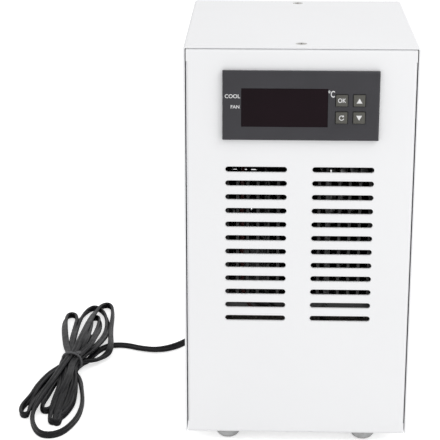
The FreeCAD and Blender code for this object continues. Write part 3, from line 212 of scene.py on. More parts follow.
class ChillerColours(bpy.types.PropertyGroup):
    paint: bpy.props.FloatVectorProperty(
        name="Paint", description="Powder coat of the box", default=(0.875, 0.878, 0.885), size=3,
        subtype="COLOR")
    panel: bpy.props.FloatVectorProperty(
        name="Controller", description="Plastic of the controller's front",
        default=(0.0270, 0.0260, 0.0315), size=3, subtype="COLOR")
    window: bpy.props.FloatVectorProperty(
        name="Display window", description="Smoked display filter",
        default=(0.0075, 0.0022, 0.0045), size=3, subtype="COLOR")
    keys: bpy.props.FloatVectorProperty(
        name="Keys", description="Caps of the four keys", default=(0.082, 0.080, 0.068), size=3,
        subtype="COLOR")
    legend: bpy.props.FloatVectorProperty(
        name="Legends", description="Ink of the words and signs", default=(0.78, 0.78, 0.78),
        size=3, subtype="COLOR")
    cord: bpy.props.FloatVectorProperty(
        name="Cord", description="Sheath of the power cord", default=(0.0095, 0.0094, 0.0106),
        size=3, subtype="COLOR")
    tie: bpy.props.FloatVectorProperty(
        name="Tie", description="Coating of the tie wire", default=(0.115, 0.115, 0.12), size=3,
        subtype="COLOR")
    feet: bpy.props.FloatVectorProperty(
        name="Feet", description="Rubber of the feet", default=(0.50, 0.50, 0.50), size=3,
        subtype="COLOR")


# ---- Finishes ----

# A grain's values lie mostly between these two.
GRAIN_LOW = 0.3
GRAIN_HIGH = 0.7


def new_finish(name, colour, roughness, metallic=0.0, specular=0.5, coat=0.0):
    """Material with its shader's plain values set; gives the material, its tree and its shader."""
    material = bpy.data.materials.new(name)
    material.use_nodes = True
    tree = material.node_tree
    shader = tree.nodes["Principled BSDF"]
    shader.inputs["Base Color"].default_value = (*colour, 1.0)
    shader.inputs["Roughness"].default_value = roughness
    shader.inputs["Metallic"].default_value = metallic
    shader.inputs["Specular IOR Level"].default_value = specular
    shader.inputs["Coat Weight"].default_value = coat
    material.diffuse_color = (*colour, 1.0)
    return material, tree, shader


def surface_point(tree, stretch=(1.0, 1.0, 1.0), source="Object"):
    """Place on the piece, in metres, stretched along its axes."""
    where = tree.nodes.new("ShaderNodeTexCoord")
    mapping = tree.nodes.new("ShaderNodeMapping")
    mapping.inputs["Scale"].default_value = stretch
    tree.links.new(where.outputs[source], mapping.inputs["Vector"])
    return mapping.outputs["Vector"]


def grain_value(tree, size, detail=2.0, stretch=(1.0, 1.0, 1.0), source="Object"):
    noise = tree.nodes.new("ShaderNodeTexNoise")
    noise.inputs["Scale"].default_value = 1.0 / size
    noise.inputs["Detail"].default_value = detail
    tree.links.new(surface_point(tree, stretch, source), noise.inputs["Vector"])
    return noise.outputs["Fac"]


def remapped(tree, value, low, high):
    """The middle of a grain's range, spread from low to high."""
    node = tree.nodes.new("ShaderNodeMapRange")
    node.inputs["From Min"].default_value = GRAIN_LOW
    node.inputs["From Max"].default_value = GRAIN_HIGH
    node.inputs["To Min"].default_value = low
    node.inputs["To Max"].default_value = high
    tree.links.new(value, node.inputs["Value"])
    return node.outputs["Result"]


def two_tone(tree, shader, value, dark, light, start=GRAIN_LOW, stop=GRAIN_HIGH):
    """Colour that runs from dark to light as the value rises."""
    ramp = tree.nodes.new("ShaderNodeValToRGB")
    ramp.color_ramp.elements[0].position = start
    ramp.color_ramp.elements[0].color = (*dark, 1.0)
    ramp.color_ramp.elements[1].position = stop
    ramp.color_ramp.elements[1].color = (*light, 1.0)
    tree.links.new(value, ramp.inputs["Fac"])
    tree.links.new(ramp.outputs["Color"], shader.inputs["Base Color"])


def tinted(colour, factor):
    return tuple(min(1.0, channel * factor) for channel in colour)


def mottled(tree, shader, colour, size, detail, darkest, lightest):
    """The colour in a grain of tints, from its darkest to its lightest factor."""
    two_tone(tree, shader, grain_value(tree, size, detail),
             tinted(colour, darkest), tinted(colour, lightest))


def raised(tree, shader, value, depth, strength=1.0):
    """Bump from a value, depth in metres."""
    bump = tree.nodes.new("ShaderNodeBump")
    bump.inputs["Distance"].default_value = depth
    bump.inputs["Strength"].default_value = strength
    tree.links.new(value, bump.inputs["Height"])
    tree.links.new(bump.outputs["Normal"], shader.inputs["Normal"])


def patchy_gloss(tree, shader, low, high, size):
    tree.links.new(remapped(tree, grain_value(tree, size), low, high), shader.inputs["Roughness"])


def powder_coat(colour):
    material, tree, shader = new_finish("powder_coat", colour, 0.42, specular=0.4)
    mottled(tree, shader, colour, 0.045, 3.0, 0.992, 1.004)
    patchy_gloss(tree, shader, 0.38, 0.5, 0.02)
    raised(tree, shader, grain_value(tree, 0.0011, 2.0), 0.00003, 0.35)
    return material


def moulded_plastic(name, colour, roughness=0.45, pebble=0.0005, depth=0.00002):
    """Injection-moulded plastic with a fine spark-eroded grain."""
    material, tree, shader = new_finish(name, colour, roughness)
    mottled(tree, shader, colour, 0.012, 4.0, 0.88, 1.1)
    patchy_gloss(tree, shader, roughness - 0.07, roughness + 0.1, 0.006)
    raised(tree, shader, grain_value(tree, pebble, 3.0), depth, 0.6)
    return material


def smoked_window(colour):
    material, tree, shader = new_finish("smoked_window", colour, 0.2, specular=0.12)
    mottled(tree, shader, colour, 0.03, 2.0, 0.8, 1.3)
    patchy_gloss(tree, shader, 0.15, 0.26, 0.01)
    return material


def cord_sheath(colour):
    """Drawn sheath: streaks run along the lead, which its own UV map carries."""
    material, tree, shader = new_finish("cord_sheath", colour, 0.42, specular=0.2)
    streaks = grain_value(tree, 0.05, 3.0, (1.6, 1.0, 1.0), "UV")
    two_tone(tree, shader, streaks, tinted(colour, 0.75), tinted(colour, 1.35))
    gloss = remapped(tree, grain_value(tree, 0.004, 3.0), 0.34, 0.5)
    tree.links.new(gloss, shader.inputs["Roughness"])
    raised(tree, shader, grain_value(tree, 0.0004, 3.0), 0.00002, 0.5)
    return material


def lead_sheath(name, colour):
    material, tree, shader = new_finish(name, colour, 0.38)
    mottled(tree, shader, colour, 0.006, 3.0, 0.85, 1.1)
    raised(tree, shader, grain_value(tree, 0.0005, 2.0), 0.00002, 0.4)
    return material


def soft_rubber(name, colour, roughness=0.7):
    material, tree, shader = new_finish(name, colour, roughness, specular=0.35)
    mottled(tree, shader, colour, 0.004, 4.0, 0.82, 1.12)
    patchy_gloss(tree, shader, roughness - 0.12, roughness + 0.12, 0.003)
    raised(tree, shader, grain_value(tree, 0.00035, 4.0), 0.00004, 0.6)
    return material


def plated_metal(name, colour, roughness=0.28):
    """Zinc or nickel plate with faint handling marks."""
    material, tree, shader = new_finish(name, colour, roughness, metallic=1.0)
    mottled(tree, shader, colour, 0.003, 5.0, 0.82, 1.1)
    patchy_gloss(tree, shader, roughness - 0.08, roughness + 0.14, 0.0015)
    raised(tree, shader, grain_value(tree, 0.0006, 4.0), 0.00001, 0.5)
    return material


def drawn_aluminium(name, colour, stretch):
    """Extruded or milled aluminium, its lines along one axis."""
    material, tree, shader = new_finish(name, colour, 0.36, metallic=1.0)
    lines = grain_value(tree, 0.0009, 4.0, stretch)
    two_tone(tree, shader, lines, tinted(colour, 0.78), tinted(colour, 1.06))
    tree.links.new(remapped(tree, lines, 0.3, 0.5), shader.inputs["Roughness"])
    raised(tree, shader, lines, 0.00002, 0.5)
    return material


def foam_board(colour):
    material, tree, shader = new_finish("closed_cell_foam", colour, 0.85, specular=0.2)
    cells = tree.nodes.new("ShaderNodeTexVoronoi")
    cells.inputs["Scale"].default_value = 1400.0
    tree.links.new(surface_point(tree), cells.inputs["Vector"])
    depth = cells.outputs["Distance"]
    two_tone(tree, shader, depth, tinted(colour, 1.3), tinted(colour, 0.6), 0.1, 0.8)
    raised(tree, shader, depth, 0.00012, 0.6)
    return material


def circuit_board():
    """Green solder mask over copper tracks and ground, with pads."""
    material, tree, shader = new_finish("circuit_board", (0.015, 0.09, 0.035), 0.32, coat=0.3)
    tracks = tree.nodes.new("ShaderNodeTexBrick")
    tracks.offset = 0.35
    tracks.inputs["Color1"].default_value = (0.012, 0.10, 0.040, 1.0)
    tracks.inputs["Color2"].default_value = (0.020, 0.13, 0.050, 1.0)
    tracks.inputs["Mortar"].default_value = (0.006, 0.045, 0.020, 1.0)
    tracks.inputs["Scale"].default_value = 260.0
    tracks.inputs["Mortar Size"].default_value = 0.05
    tree.links.new(surface_point(tree), tracks.inputs["Vector"])
    tree.links.new(tracks.outputs["Color"], shader.inputs["Base Color"])
    raised(tree, shader, tracks.outputs["Fac"], 0.00003, 0.4)
    patchy_gloss(tree, shader, 0.25, 0.4, 0.004)
    return material


def wound_copper():
    """Enamelled wire laid side by side round the coil, with painted shade in the grooves between
    the turns.
    """
    material, tree, shader = new_finish("wound_copper", (0.62, 0.27, 0.12), 0.3, metallic=0.9)
    turns = tree.nodes.new("ShaderNodeTexWave")
    turns.wave_type = "BANDS"
    turns.bands_direction = "Y"
    turns.inputs["Scale"].default_value = 900.0
    turns.inputs["Distortion"].default_value = 1.5
    tree.links.new(surface_point(tree), turns.inputs["Vector"])
    # Painted shade: the colour darkens into the grooves between the turns and is lightest on their
    # crowns, following the bump.
    two_tone(tree, shader, turns.outputs["Fac"], (0.25, 0.09, 0.04), (0.72, 0.33, 0.15), 0.1, 0.9)
    raised(tree, shader, turns.outputs["Fac"], 0.00015, 0.8)
    return material


def ceramic_plate():
    material, tree, shader = new_finish("module_ceramic", (0.80, 0.80, 0.78), 0.5, specular=0.4)
    two_tone(tree, shader, grain_value(tree, 0.002, 5.0), (0.70, 0.70, 0.67), (0.86, 0.86, 0.84))
    raised(tree, shader, grain_value(tree, 0.0003, 3.0), 0.00001, 0.4)
    return material


def printed_ink(colour):
    material, tree, shader = new_finish("printed_ink", colour, 0.55, specular=0.3)
    mottled(tree, shader, colour, 0.0006, 3.0, 0.86, 1.05)
    return material


def seen_ray(tree, rays):
    """1 for rays from the camera, straight or through the window."""
    either = tree.nodes.new("ShaderNodeMath")
    either.operation = "MAXIMUM"
    tree.links.new(rays.outputs["Is Camera Ray"], either.inputs[0])
    tree.links.new(rays.outputs["Is Transmission Ray"], either.inputs[1])
    return either.outputs["Value"]


def give(names, material):
    """The material goes into every slot of the named CAD nodes or new pieces."""
    for name in names:
        mesh = bpy.data.objects[name].data
        if not mesh.materials:
            mesh.materials.append(material)
        for slot in range(len(mesh.materials)):
            mesh.materials[slot] = material


# ---- Making meshes ----

def linked(name, data):
    """New object in the scene."""
    thing = bpy.data.objects.new(name, data)
    bpy.context.scene.collection.objects.link(thing)
    return thing


def placed(mesh, name, smooth=False):
    piece = linked(name, mesh)
    for face in mesh.polygons:
        face.use_smooth = smooth
    return piece


def from_faces(name, points, faces, smooth=False):
    mesh = bpy.data.meshes.new(name)
    mesh.from_pydata(points, [], faces)
    mesh.update()
    return placed(mesh, name, smooth)


def joined(name, pieces, smooth=False):
    """One piece from several, in place of them."""
    shape = bmesh.new()
    for piece in pieces:
        shape.from_mesh(piece.data)
    mesh = bpy.data.meshes.new(name)
    shape.to_mesh(mesh)
    shape.free()
    for piece in pieces:
        bpy.data.objects.remove(piece)
    return placed(mesh, name, smooth)


def softened(node, name, body, width, segments):
    """Copy of a CAD node with its sharp edges rounded, which stands for the node."""
    weld, flat = 2e-6, math.radians(0.6)
    sharp, shaded_sharp = math.radians(30.0), math.radians(35.0)
    shape = bmesh.new()
    shape.from_mesh(NODES[node].data)
    bmesh.ops.remove_doubles(shape, verts=shape.verts, dist=weld)
    bmesh.ops.dissolve_limit(shape, angle_limit=flat, verts=shape.verts, edges=shape.edges)
    edges = [edge for edge in shape.edges
             if len(edge.link_faces) == 2 and edge.calc_face_angle(0.0) > sharp]
    bmesh.ops.bevel(shape, geom=edges, offset=width, segments=segments, profile=0.5,
                    affect="EDGES", clamp_overlap=True)
    mesh = bpy.data.meshes.new(name)
    shape.to_mesh(mesh)
    shape.free()
    piece = placed(mesh, name, True)
    mesh.set_sharp_from_angle(angle=shaded_sharp)
    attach(piece, body)
    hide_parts(node)
    return piece


def smooth_line(points, steps):
    """Points of the NURBS spline that has the given points as its control points."""
    curve = bpy.data.curves.new("line", "CURVE")
    curve.dimensions = "3D"
    curve.resolution_u = steps
    spline = curve.splines.new("NURBS")
    spline.points.add(len(points) - 1)
    for target, point in zip(spline.points, points):
        target.co = (*point, 1.0)
    spline.order_u = 3
    spline.use_endpoint_u = True
    holder = linked("line", curve)
    mesh = bpy.data.meshes.new_from_object(holder)
    line = [vertex.co.copy() for vertex in mesh.vertices]
    bpy.data.objects.remove(holder)
    bpy.data.curves.remove(curve)
    bpy.data.meshes.remove(mesh)
    return line


def twin_section(width, thickness):
    """Outline of the flat twin lead: two round cores joined by a thinner web."""
    arc_points = 11
    web_share = 0.6
    radius = thickness / 2
    reach = width / 2 - radius
    turn = math.pi - math.asin(web_share)
    half = []
    for step in range(arc_points):
        angle = -turn + 2 * turn * step / (arc_points - 1)
        half.append((reach + radius * math.cos(angle), radius * math.sin(angle)))
    return half + [(-across, -along) for across, along in half]


def twin_lead(name, line, leans, width, thickness):
    """Mesh of the flat twin lead along a line, turned to the given leans."""
    metres_per_uv, uv_around = 4.0, 0.35
    outline = twin_section(width, thickness)
    points, faces, lengths = [], [], [0.0]
    for index, centre in enumerate(line):
        before = line[max(0, index - 1)]
        after = line[min(len(line) - 1, index + 1)]
        along = (after - before).normalized()
        upright = Vector((0.0, 0.0, 1.0))
        upright = (upright - along * upright.dot(along)).normalized()
        across = along.cross(upright)
        lean = math.radians(leans[index])
        wide = upright * math.cos(lean) + across * math.sin(lean)
        thin = wide.cross(along)
        points += [centre + wide * u + thin * v for u, v in outline]
        if index:
            lengths.append(lengths[-1] + (centre - line[index - 1]).length)
    count = len(outline)
    for ring in range(len(line) - 1):
        for step in range(count):
            other = (step + 1) % count
            faces.append((ring * count + step, ring * count + other,
                          (ring + 1) * count + other, (ring + 1) * count + step))
    faces.append(tuple(range(count - 1, -1, -1)))
    faces.append(tuple(range((len(line) - 1) * count, len(line) * count)))
    lead = from_faces(name, points, faces, True)
    layer = lead.data.uv_layers.new(name="along")
    for face in lead.data.polygons[:-2]:
        for corner in face.loop_indices:
            vertex = lead.data.loops[corner].vertex_index
            layer.data[corner].uv = (lengths[vertex // count] / metres_per_uv,
                                     (vertex % count) / count * uv_around)
    shape = bmesh.new()
    shape.from_mesh(lead.data)
    bmesh.ops.recalc_face_normals(shape, faces=shape.faces)
    shape.to_mesh(lead.data)
    shape.free()
    return lead


def word(name, text, height, centre, face, narrow=1.0):
    """Printed word on a face that looks to the front, a hair proud of it."""
    size_per_height, boldness, weld = 1.38, 0.018, 1e-6
    curve = bpy.data.curves.new(name, "FONT")
    curve.body = text
    curve.size = height * size_per_height
    curve.offset = height * boldness
    curve.extrude = INK_SUNK
    curve.align_x = "CENTER"
    curve.align_y = "CENTER"
    holder = linked(name, curve)
    mesh = bpy.data.meshes.new_from_object(holder)
    bpy.data.objects.remove(holder)
    mesh.transform(Matrix.Translation((centre[0], face - INK_PROUD + INK_SUNK, centre[1]))
                   @ Matrix.Rotation(math.pi / 2, 4, "X")
                   @ Matrix.Diagonal((narrow, 1.0, 1.0, 1.0)))
    shape = bmesh.new()
    shape.from_mesh(mesh)
    bmesh.ops.remove_doubles(shape, verts=shape.verts, dist=weld)
    shape.to_mesh(mesh)
    shape.free()
    return placed(mesh, name)


def flat_shape(name, outline, centre, face):
    """Thin printed shape on a face that looks to the front."""
    count = len(outline)
    points = [(centre[0] + x, face - INK_PROUD, centre[1] + z) for x, z in outline]
    points += [(centre[0] + x, face + INK_SUNK, centre[1] + z) for x, z in outline]
    faces = [tuple(range(count)), tuple(range(2 * count - 1, count - 1, -1))]
    for step in range(count):
        other = (step + 1) % count
        faces.append((step, step + count, other + count, other))
    shape = bmesh.new()
    piece = from_faces(name, points, faces)
    shape.from_mesh(piece.data)
    bmesh.ops.recalc_face_normals(shape, faces=shape.faces)
    bmesh.ops.triangulate(shape, faces=shape.faces)
    shape.to_mesh(piece.data)
    shape.free()
    return piece


# ---- Geometry Nodes ----

def node_tree_with(name, inputs):
    """Geometry Nodes tree with named inputs; gives the tree, its input and its output."""
    tree = bpy.data.node_groups.new(name, "GeometryNodeTree")
    tree.is_modifier = True
    tree.interface.new_socket(name="Geometry", in_out="INPUT", socket_type="NodeSocketGeometry")
    for label, kind in inputs:
        tree.interface.new_socket(name=label, in_out="INPUT", socket_type=kind)
    tree.interface.new_socket(name="Geometry", in_out="OUTPUT", socket_type="NodeSocketGeometry")
    return tree, tree.nodes.new("NodeGroupInput"), tree.nodes.new("NodeGroupOutput")


def closed_off(tree, result, start, end):
    """Realize Instances and Set Material, which end every tree here."""
    real = tree.nodes.new("GeometryNodeRealizeInstances")
    dress = tree.nodes.new("GeometryNodeSetMaterial")
    tree.links.new(result, real.inputs["Geometry"])
    tree.links.new(real.outputs["Geometry"], dress.inputs["Geometry"])
    tree.links.new(start.outputs["Material"], dress.inputs["Material"])
    tree.links.new(dress.outputs["Geometry"], end.inputs["Geometry"])


def node_result(name, holder, tree, values):
    """Plain mesh that the tree makes from the holder, as a new piece; the holder goes."""
    modifier = holder.modifiers.new(tree.name, "NODES")
    modifier.node_group = tree
    for item in tree.interface.items_tree:
        if item.item_type == "SOCKET" and item.in_out == "INPUT" and item.name in values:
            modifier[item.identifier] = values[item.name]
    bpy.context.view_layer.update()
    evaluated = holder.evaluated_get(bpy.context.evaluated_depsgraph_get())
    mesh = bpy.data.meshes.new_from_object(evaluated)
    mesh.name = name
    holder.modifiers.remove(modifier)
    bpy.data.objects.remove(holder)
    if not mesh.vertices:
        raise RuntimeError(name + " came out empty")
    mesh.materials.clear()
    mesh.materials.append(values["Material"])
    mesh.polygons.foreach_set("material_index", [0] * len(mesh.polygons))
    return placed(mesh, name, True)


def round_section(tree, radius, resolution):
    """Circle whose radius comes from a socket."""
    circle = tree.nodes.new("GeometryNodeCurvePrimitiveCircle")
    circle.inputs["Resolution"].default_value = resolution
    tree.links.new(radius, circle.inputs["Radius"])
    return circle.outputs["Curve"]


def swept(tree, curve, section, capped=False):
    sweep = tree.nodes.new("GeometryNodeCurveToMesh")
    sweep.inputs["Fill Caps"].default_value = capped
    tree.links.new(curve, sweep.inputs["Curve"])
    tree.links.new(section, sweep.inputs["Profile Curve"])
    return sweep.outputs["Mesh"]


def wire_tree():
    """Round wire along a curve."""
    tree, start, end = node_tree_with("Coated Wire", [
        ("Wire Radius", "NodeSocketFloat"), ("Material", "NodeSocketMaterial")])
    section = round_section(tree, start.outputs["Wire Radius"], 12)
    closed_off(tree, swept(tree, start.outputs["Geometry"], section, True), start, end)
    return tree


def rib_tree():
    """Row of rings along Y that shrink evenly: count, pitch, first radius, taper and bead."""
    tree, start, end = node_tree_with("Strain Relief Ribs", [
        ("Count", "NodeSocketInt"), ("Pitch", "NodeSocketFloat"),
        ("First Radius", "NodeSocketFloat"), ("Taper", "NodeSocketFloat"),
        ("Bead Radius", "NodeSocketFloat"), ("Material", "NodeSocketMaterial")])
    row = tree.nodes.new("GeometryNodeMeshLine")
    step = tree.nodes.new("ShaderNodeCombineXYZ")
    tree.links.new(start.outputs["Count"], row.inputs["Count"])
    tree.links.new(start.outputs["Pitch"], step.inputs["Y"])
    tree.links.new(step.outputs["Vector"], row.inputs["Offset"])
    rib = swept(tree, round_section(tree, start.outputs["First Radius"], 40),
                round_section(tree, start.outputs["Bead Radius"], 10))
    place = tree.nodes.new("GeometryNodeInstanceOnPoints")
    place.inputs["Rotation"].default_value = (math.pi / 2, 0.0, 0.0)
    index = tree.nodes.new("GeometryNodeInputIndex")
    shrink = tree.nodes.new("ShaderNodeMath")
    shrink.operation = "MULTIPLY"
    size = tree.nodes.new("ShaderNodeMath")
    size.operation = "SUBTRACT"
    size.inputs[0].default_value = 1.0
    tree.links.new(index.outputs["Index"], shrink.inputs[0])
    tree.links.new(start.outputs["Taper"], shrink.inputs[1])
    tree.links.new(shrink.outputs["Value"], size.inputs[1])
    tree.links.new(size.outputs["Value"], place.inputs["Scale"])
    tree.links.new(row.outputs["Mesh"], place.inputs["Points"])
    tree.links.new(rib, place.inputs["Instance"])
    closed_off(tree, place.outputs["Instances"], start, end)
    return tree


def rib_row(name, start, count, pitch, radius, taper, material):
    """Row of ribs along Y from its start."""
    holder = linked("holder", bpy.data.meshes.new("holder"))
    ribs = node_result(name, holder, rib_tree(), {
        "Count": count, "Pitch": pitch, "First Radius": radius, "Taper": taper,
        "Bead Radius": 0.00045, "Material": material})
    ribs.data.transform(Matrix.Translation(start))
    return ribs


def lip_tree():
    """Paint lips round the air slots: one round-ended ring, repeated over columns and rows."""
    tree, start, end = node_tree_with("Slot Lips", [
        ("Columns", "NodeSocketInt"), ("Rows", "NodeSocketInt"), ("Field Width", "NodeSocketFloat"),
        ("Field Height", "NodeSocketFloat"), ("Lip Radius", "NodeSocketFloat"),
        ("Material", "NodeSocketMaterial")])
    grid = tree.nodes.new("GeometryNodeMeshGrid")
    tree.links.new(start.outputs["Field Width"], grid.inputs["Size X"])
    tree.links.new(start.outputs["Field Height"], grid.inputs["Size Y"])
    tree.links.new(start.outputs["Columns"], grid.inputs["Vertices X"])
    tree.links.new(start.outputs["Rows"], grid.inputs["Vertices Y"])
    section = round_section(tree, start.outputs["Lip Radius"], 8)
    lip = swept(tree, start.outputs["Geometry"], section)
    place = tree.nodes.new("GeometryNodeInstanceOnPoints")
    tree.links.new(grid.outputs["Mesh"], place.inputs["Points"])
    tree.links.new(lip, place.inputs["Instance"])
    closed_off(tree, place.outputs["Instances"], start, end)
    return tree


def line_holder(points, closed=False):
    """Poly curve object through the points."""
    curve = bpy.data.curves.new("holder", "CURVE")
    curve.dimensions = "3D"
    spline = curve.splines.new("POLY")
    spline.points.add(len(points) - 1)
    for target, point in zip(spline.points, points):
        target.co = (*point, 1.0)
    spline.use_cyclic_u = closed
    return linked("holder", curve)


# ---- Operators ----

class CHILLER_OT_camera(bpy.types.Operator):
    """Camera at the photograph's viewing angle"""
    bl_idname = "chiller.camera"
    bl_label = "Camera"

    def execute(self, context):
        data = bpy.data.cameras.new("camera")
        data.lens = CAMERA_LENS
        data.sensor_width = CAMERA_SENSOR
        data.clip_start = 0.01
        camera = linked("camera", data)
        camera.location = CAMERA_PLACE
        camera.rotation_euler = (math.radians(CAMERA_PITCH), 0.0, math.radians(CAMERA_YAW))
        context.scene.camera = camera
        return {"FINISHED"}


class CHILLER_OT_power_cord(bpy.types.Operator):
    """Flat twin lead from the gland, folded into its tied hank, with the tie and the plug's ribs"""
    bl_idname = "chiller.power_cord"
    bl_label = "Power cord"

    def execute(self, context):
        sizes = context.scene.chiller_sizes
        colours = context.scene.chiller_colours
        line = smooth_line([point[:3] for point in CORD_ROUTE], sizes.cord_steps)
        leans = self.leans(sizes.cord_steps)
        lead = twin_lead("power_cord_lead", line, leans, sizes.cord_width, sizes.cord_thickness)
        give([lead.name], cord_sheath(colours.cord))
        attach(lead, "chiller")
        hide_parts("power_cord", "power_cord_hank")
        tie = self.tie_wire(sizes, colours)
        ribs = self.grip_ribs(sizes)
        return {"FINISHED"}

    def leans(self, steps):
        """Lean at every ring, smoothed along the route as its places are."""
        shrink = 0.001
        turns = smooth_line([(point[3] * shrink, index * shrink, 0.0)
                             for index, point in enumerate(CORD_ROUTE)], steps)
        return [turn.x / shrink for turn in turns]

    def tie_wire(self, sizes, colours):
        """Coated wire once round the bundle, its two ends twisted together on top."""
        low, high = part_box("cord_tie")
        centre = Vector((*TIE_CENTRE, (low.z + high.z) / 2))
        across = Vector(TIE_ACROSS)
        half_height = (high.z - low.z) / 2 - sizes.tie_wire / 2
        ring_steps, twist_steps = 48, 40
        loop = []
        for step in range(ring_steps):
            angle = 2 * math.pi * step / ring_steps
            u = math.copysign(abs(math.cos(angle)) ** TIE_SQUARENESS, math.cos(angle))
            v = math.copysign(abs(math.sin(angle)) ** TIE_SQUARENESS, math.sin(angle))
            loop.append(centre + across * TIE_HALF_WIDTH * u + Vector((0.0, 0.0, half_height * v)))
        material = soft_rubber("tie_coating", colours.tie, 0.5)
        values = {"Wire Radius": sizes.tie_wire / 2, "Material": material}
        tree = wire_tree()
        ring = node_result("tie_ring", line_holder(loop, True), tree, values)
        tails = []
        root = centre + across * TWIST_ROOT + Vector((0.0, 0.0, half_height - TIE_SINK))
        for start in (0.0, math.pi):
            twist = []
            for step in range(twist_steps):
                part = step / (twist_steps - 1)
                angle = start + TWIST_HALF_TURNS * math.pi * part
                swirl = Vector((math.cos(angle), 0.0, math.sin(angle))) * TWIST_RADIUS
                twist.append(root + swirl + Vector(TWIST_REACH) * part)
            tails.append(node_result("tie_tail", line_holder(twist), tree, values))
        tie = joined("tie_wire", [ring] + tails, True)
        give([tie.name], material)
        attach(tie, "chiller")
        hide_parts("cord_tie")
        return tie

    def grip_ribs(self, sizes):
        """Ribs on the plug's relief."""
        grip_start = 0.0135
        low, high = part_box("plug_body")
        material = moulded_plastic("plug_vinyl", (0.02, 0.02, 0.021), 0.42)
        give(["plug_body", "plug_insulator"], material)
        give(["plug_sleeve"], plated_metal("plug_nickel", (0.72, 0.71, 0.68), 0.22))
        start = ((low.x + high.x) / 2, low.y + grip_start, (low.z + high.z) / 2)
        ribs = rib_row("plug_ribs", start, sizes.plug_ribs, 0.0015, 0.0037, 0.0, material)
        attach(ribs, "chiller")
        return ribs


class CHILLER_OT_cord_gland(bpy.types.Operator):
    """Ribbed nozzle of the gland where the cord leaves the box"""
    bl_idname = "chiller.cord_gland"
    bl_label = "Cord gland"

    def execute(self, context):
        sizes = context.scene.chiller_sizes
        nozzle_length = 0.0100
        low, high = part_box("cord_bush")
        material = moulded_plastic("gland_nylon", (0.022, 0.022, 0.024), 0.5, 0.0007)
        give(["cord_bush"], material)
        start = ((low.x + high.x) / 2, high.y - nozzle_length, (low.z + high.z) / 2)
        ribs = rib_row("gland_ribs", start, sizes.gland_ribs, 0.0021, 0.0043, 0.038, material)
        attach(ribs, "chiller")
        return {"FINISHED"}


class CHILLER_OT_box(bpy.types.Operator):
    """Powder-coated cover and chassis, lips of the air slots, screws and feet"""
    bl_idname = "chiller.box"
    bl_label = "Box"

    def execute(self, context):
        sizes = context.scene.chiller_sizes
        colours = context.scene.chiller_colours
        paint = powder_coat(colours.paint)
        give(["chassis", "cover"], paint)
        self.slot_lips(sizes, paint)
        give(["cover_screws"], plated_metal("screw_nickel", (0.62, 0.61, 0.58), 0.3))
        give(["cover_nuts"], plated_metal("nut_zinc", (0.55, 0.56, 0.56), 0.34))
        give(["feet"], soft_rubber("foot_rubber", colours.feet, 0.6))
        return {"FINISHED"}

    def slot_lips(self, sizes, paint):
        """Rounded build-up of paint along the edge of every front slot."""
        radius = SLOT_RADIUS + sizes.slot_lip
        half = SLOT_HALF_LENGTH - SLOT_RADIUS
        arc_steps = 12
        outline = []
        for side, turn in ((1, -math.pi / 2), (-1, math.pi / 2)):
            for step in range(arc_steps + 1):
                angle = turn + math.pi * step / arc_steps
                outline.append(
                    (side * half + radius * math.cos(angle), radius * math.sin(angle), 0.0))
        lips = node_result("slot_lips", line_holder(outline, True), lip_tree(), {
            "Columns": SLOT_COLUMNS, "Rows": SLOT_ROWS, "Field Width": SLOT_COLUMN_PITCH,
            "Field Height": SLOT_FIELD_HEIGHT, "Lip Radius": sizes.slot_lip, "Material": paint})
        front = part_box("cover")[0].y
        lips.data.transform(Matrix.Translation((0.0, front, SLOT_FIELD_MIDDLE))
                            @ Matrix.Rotation(math.pi / 2, 4, "X"))
        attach(lips, "chiller")


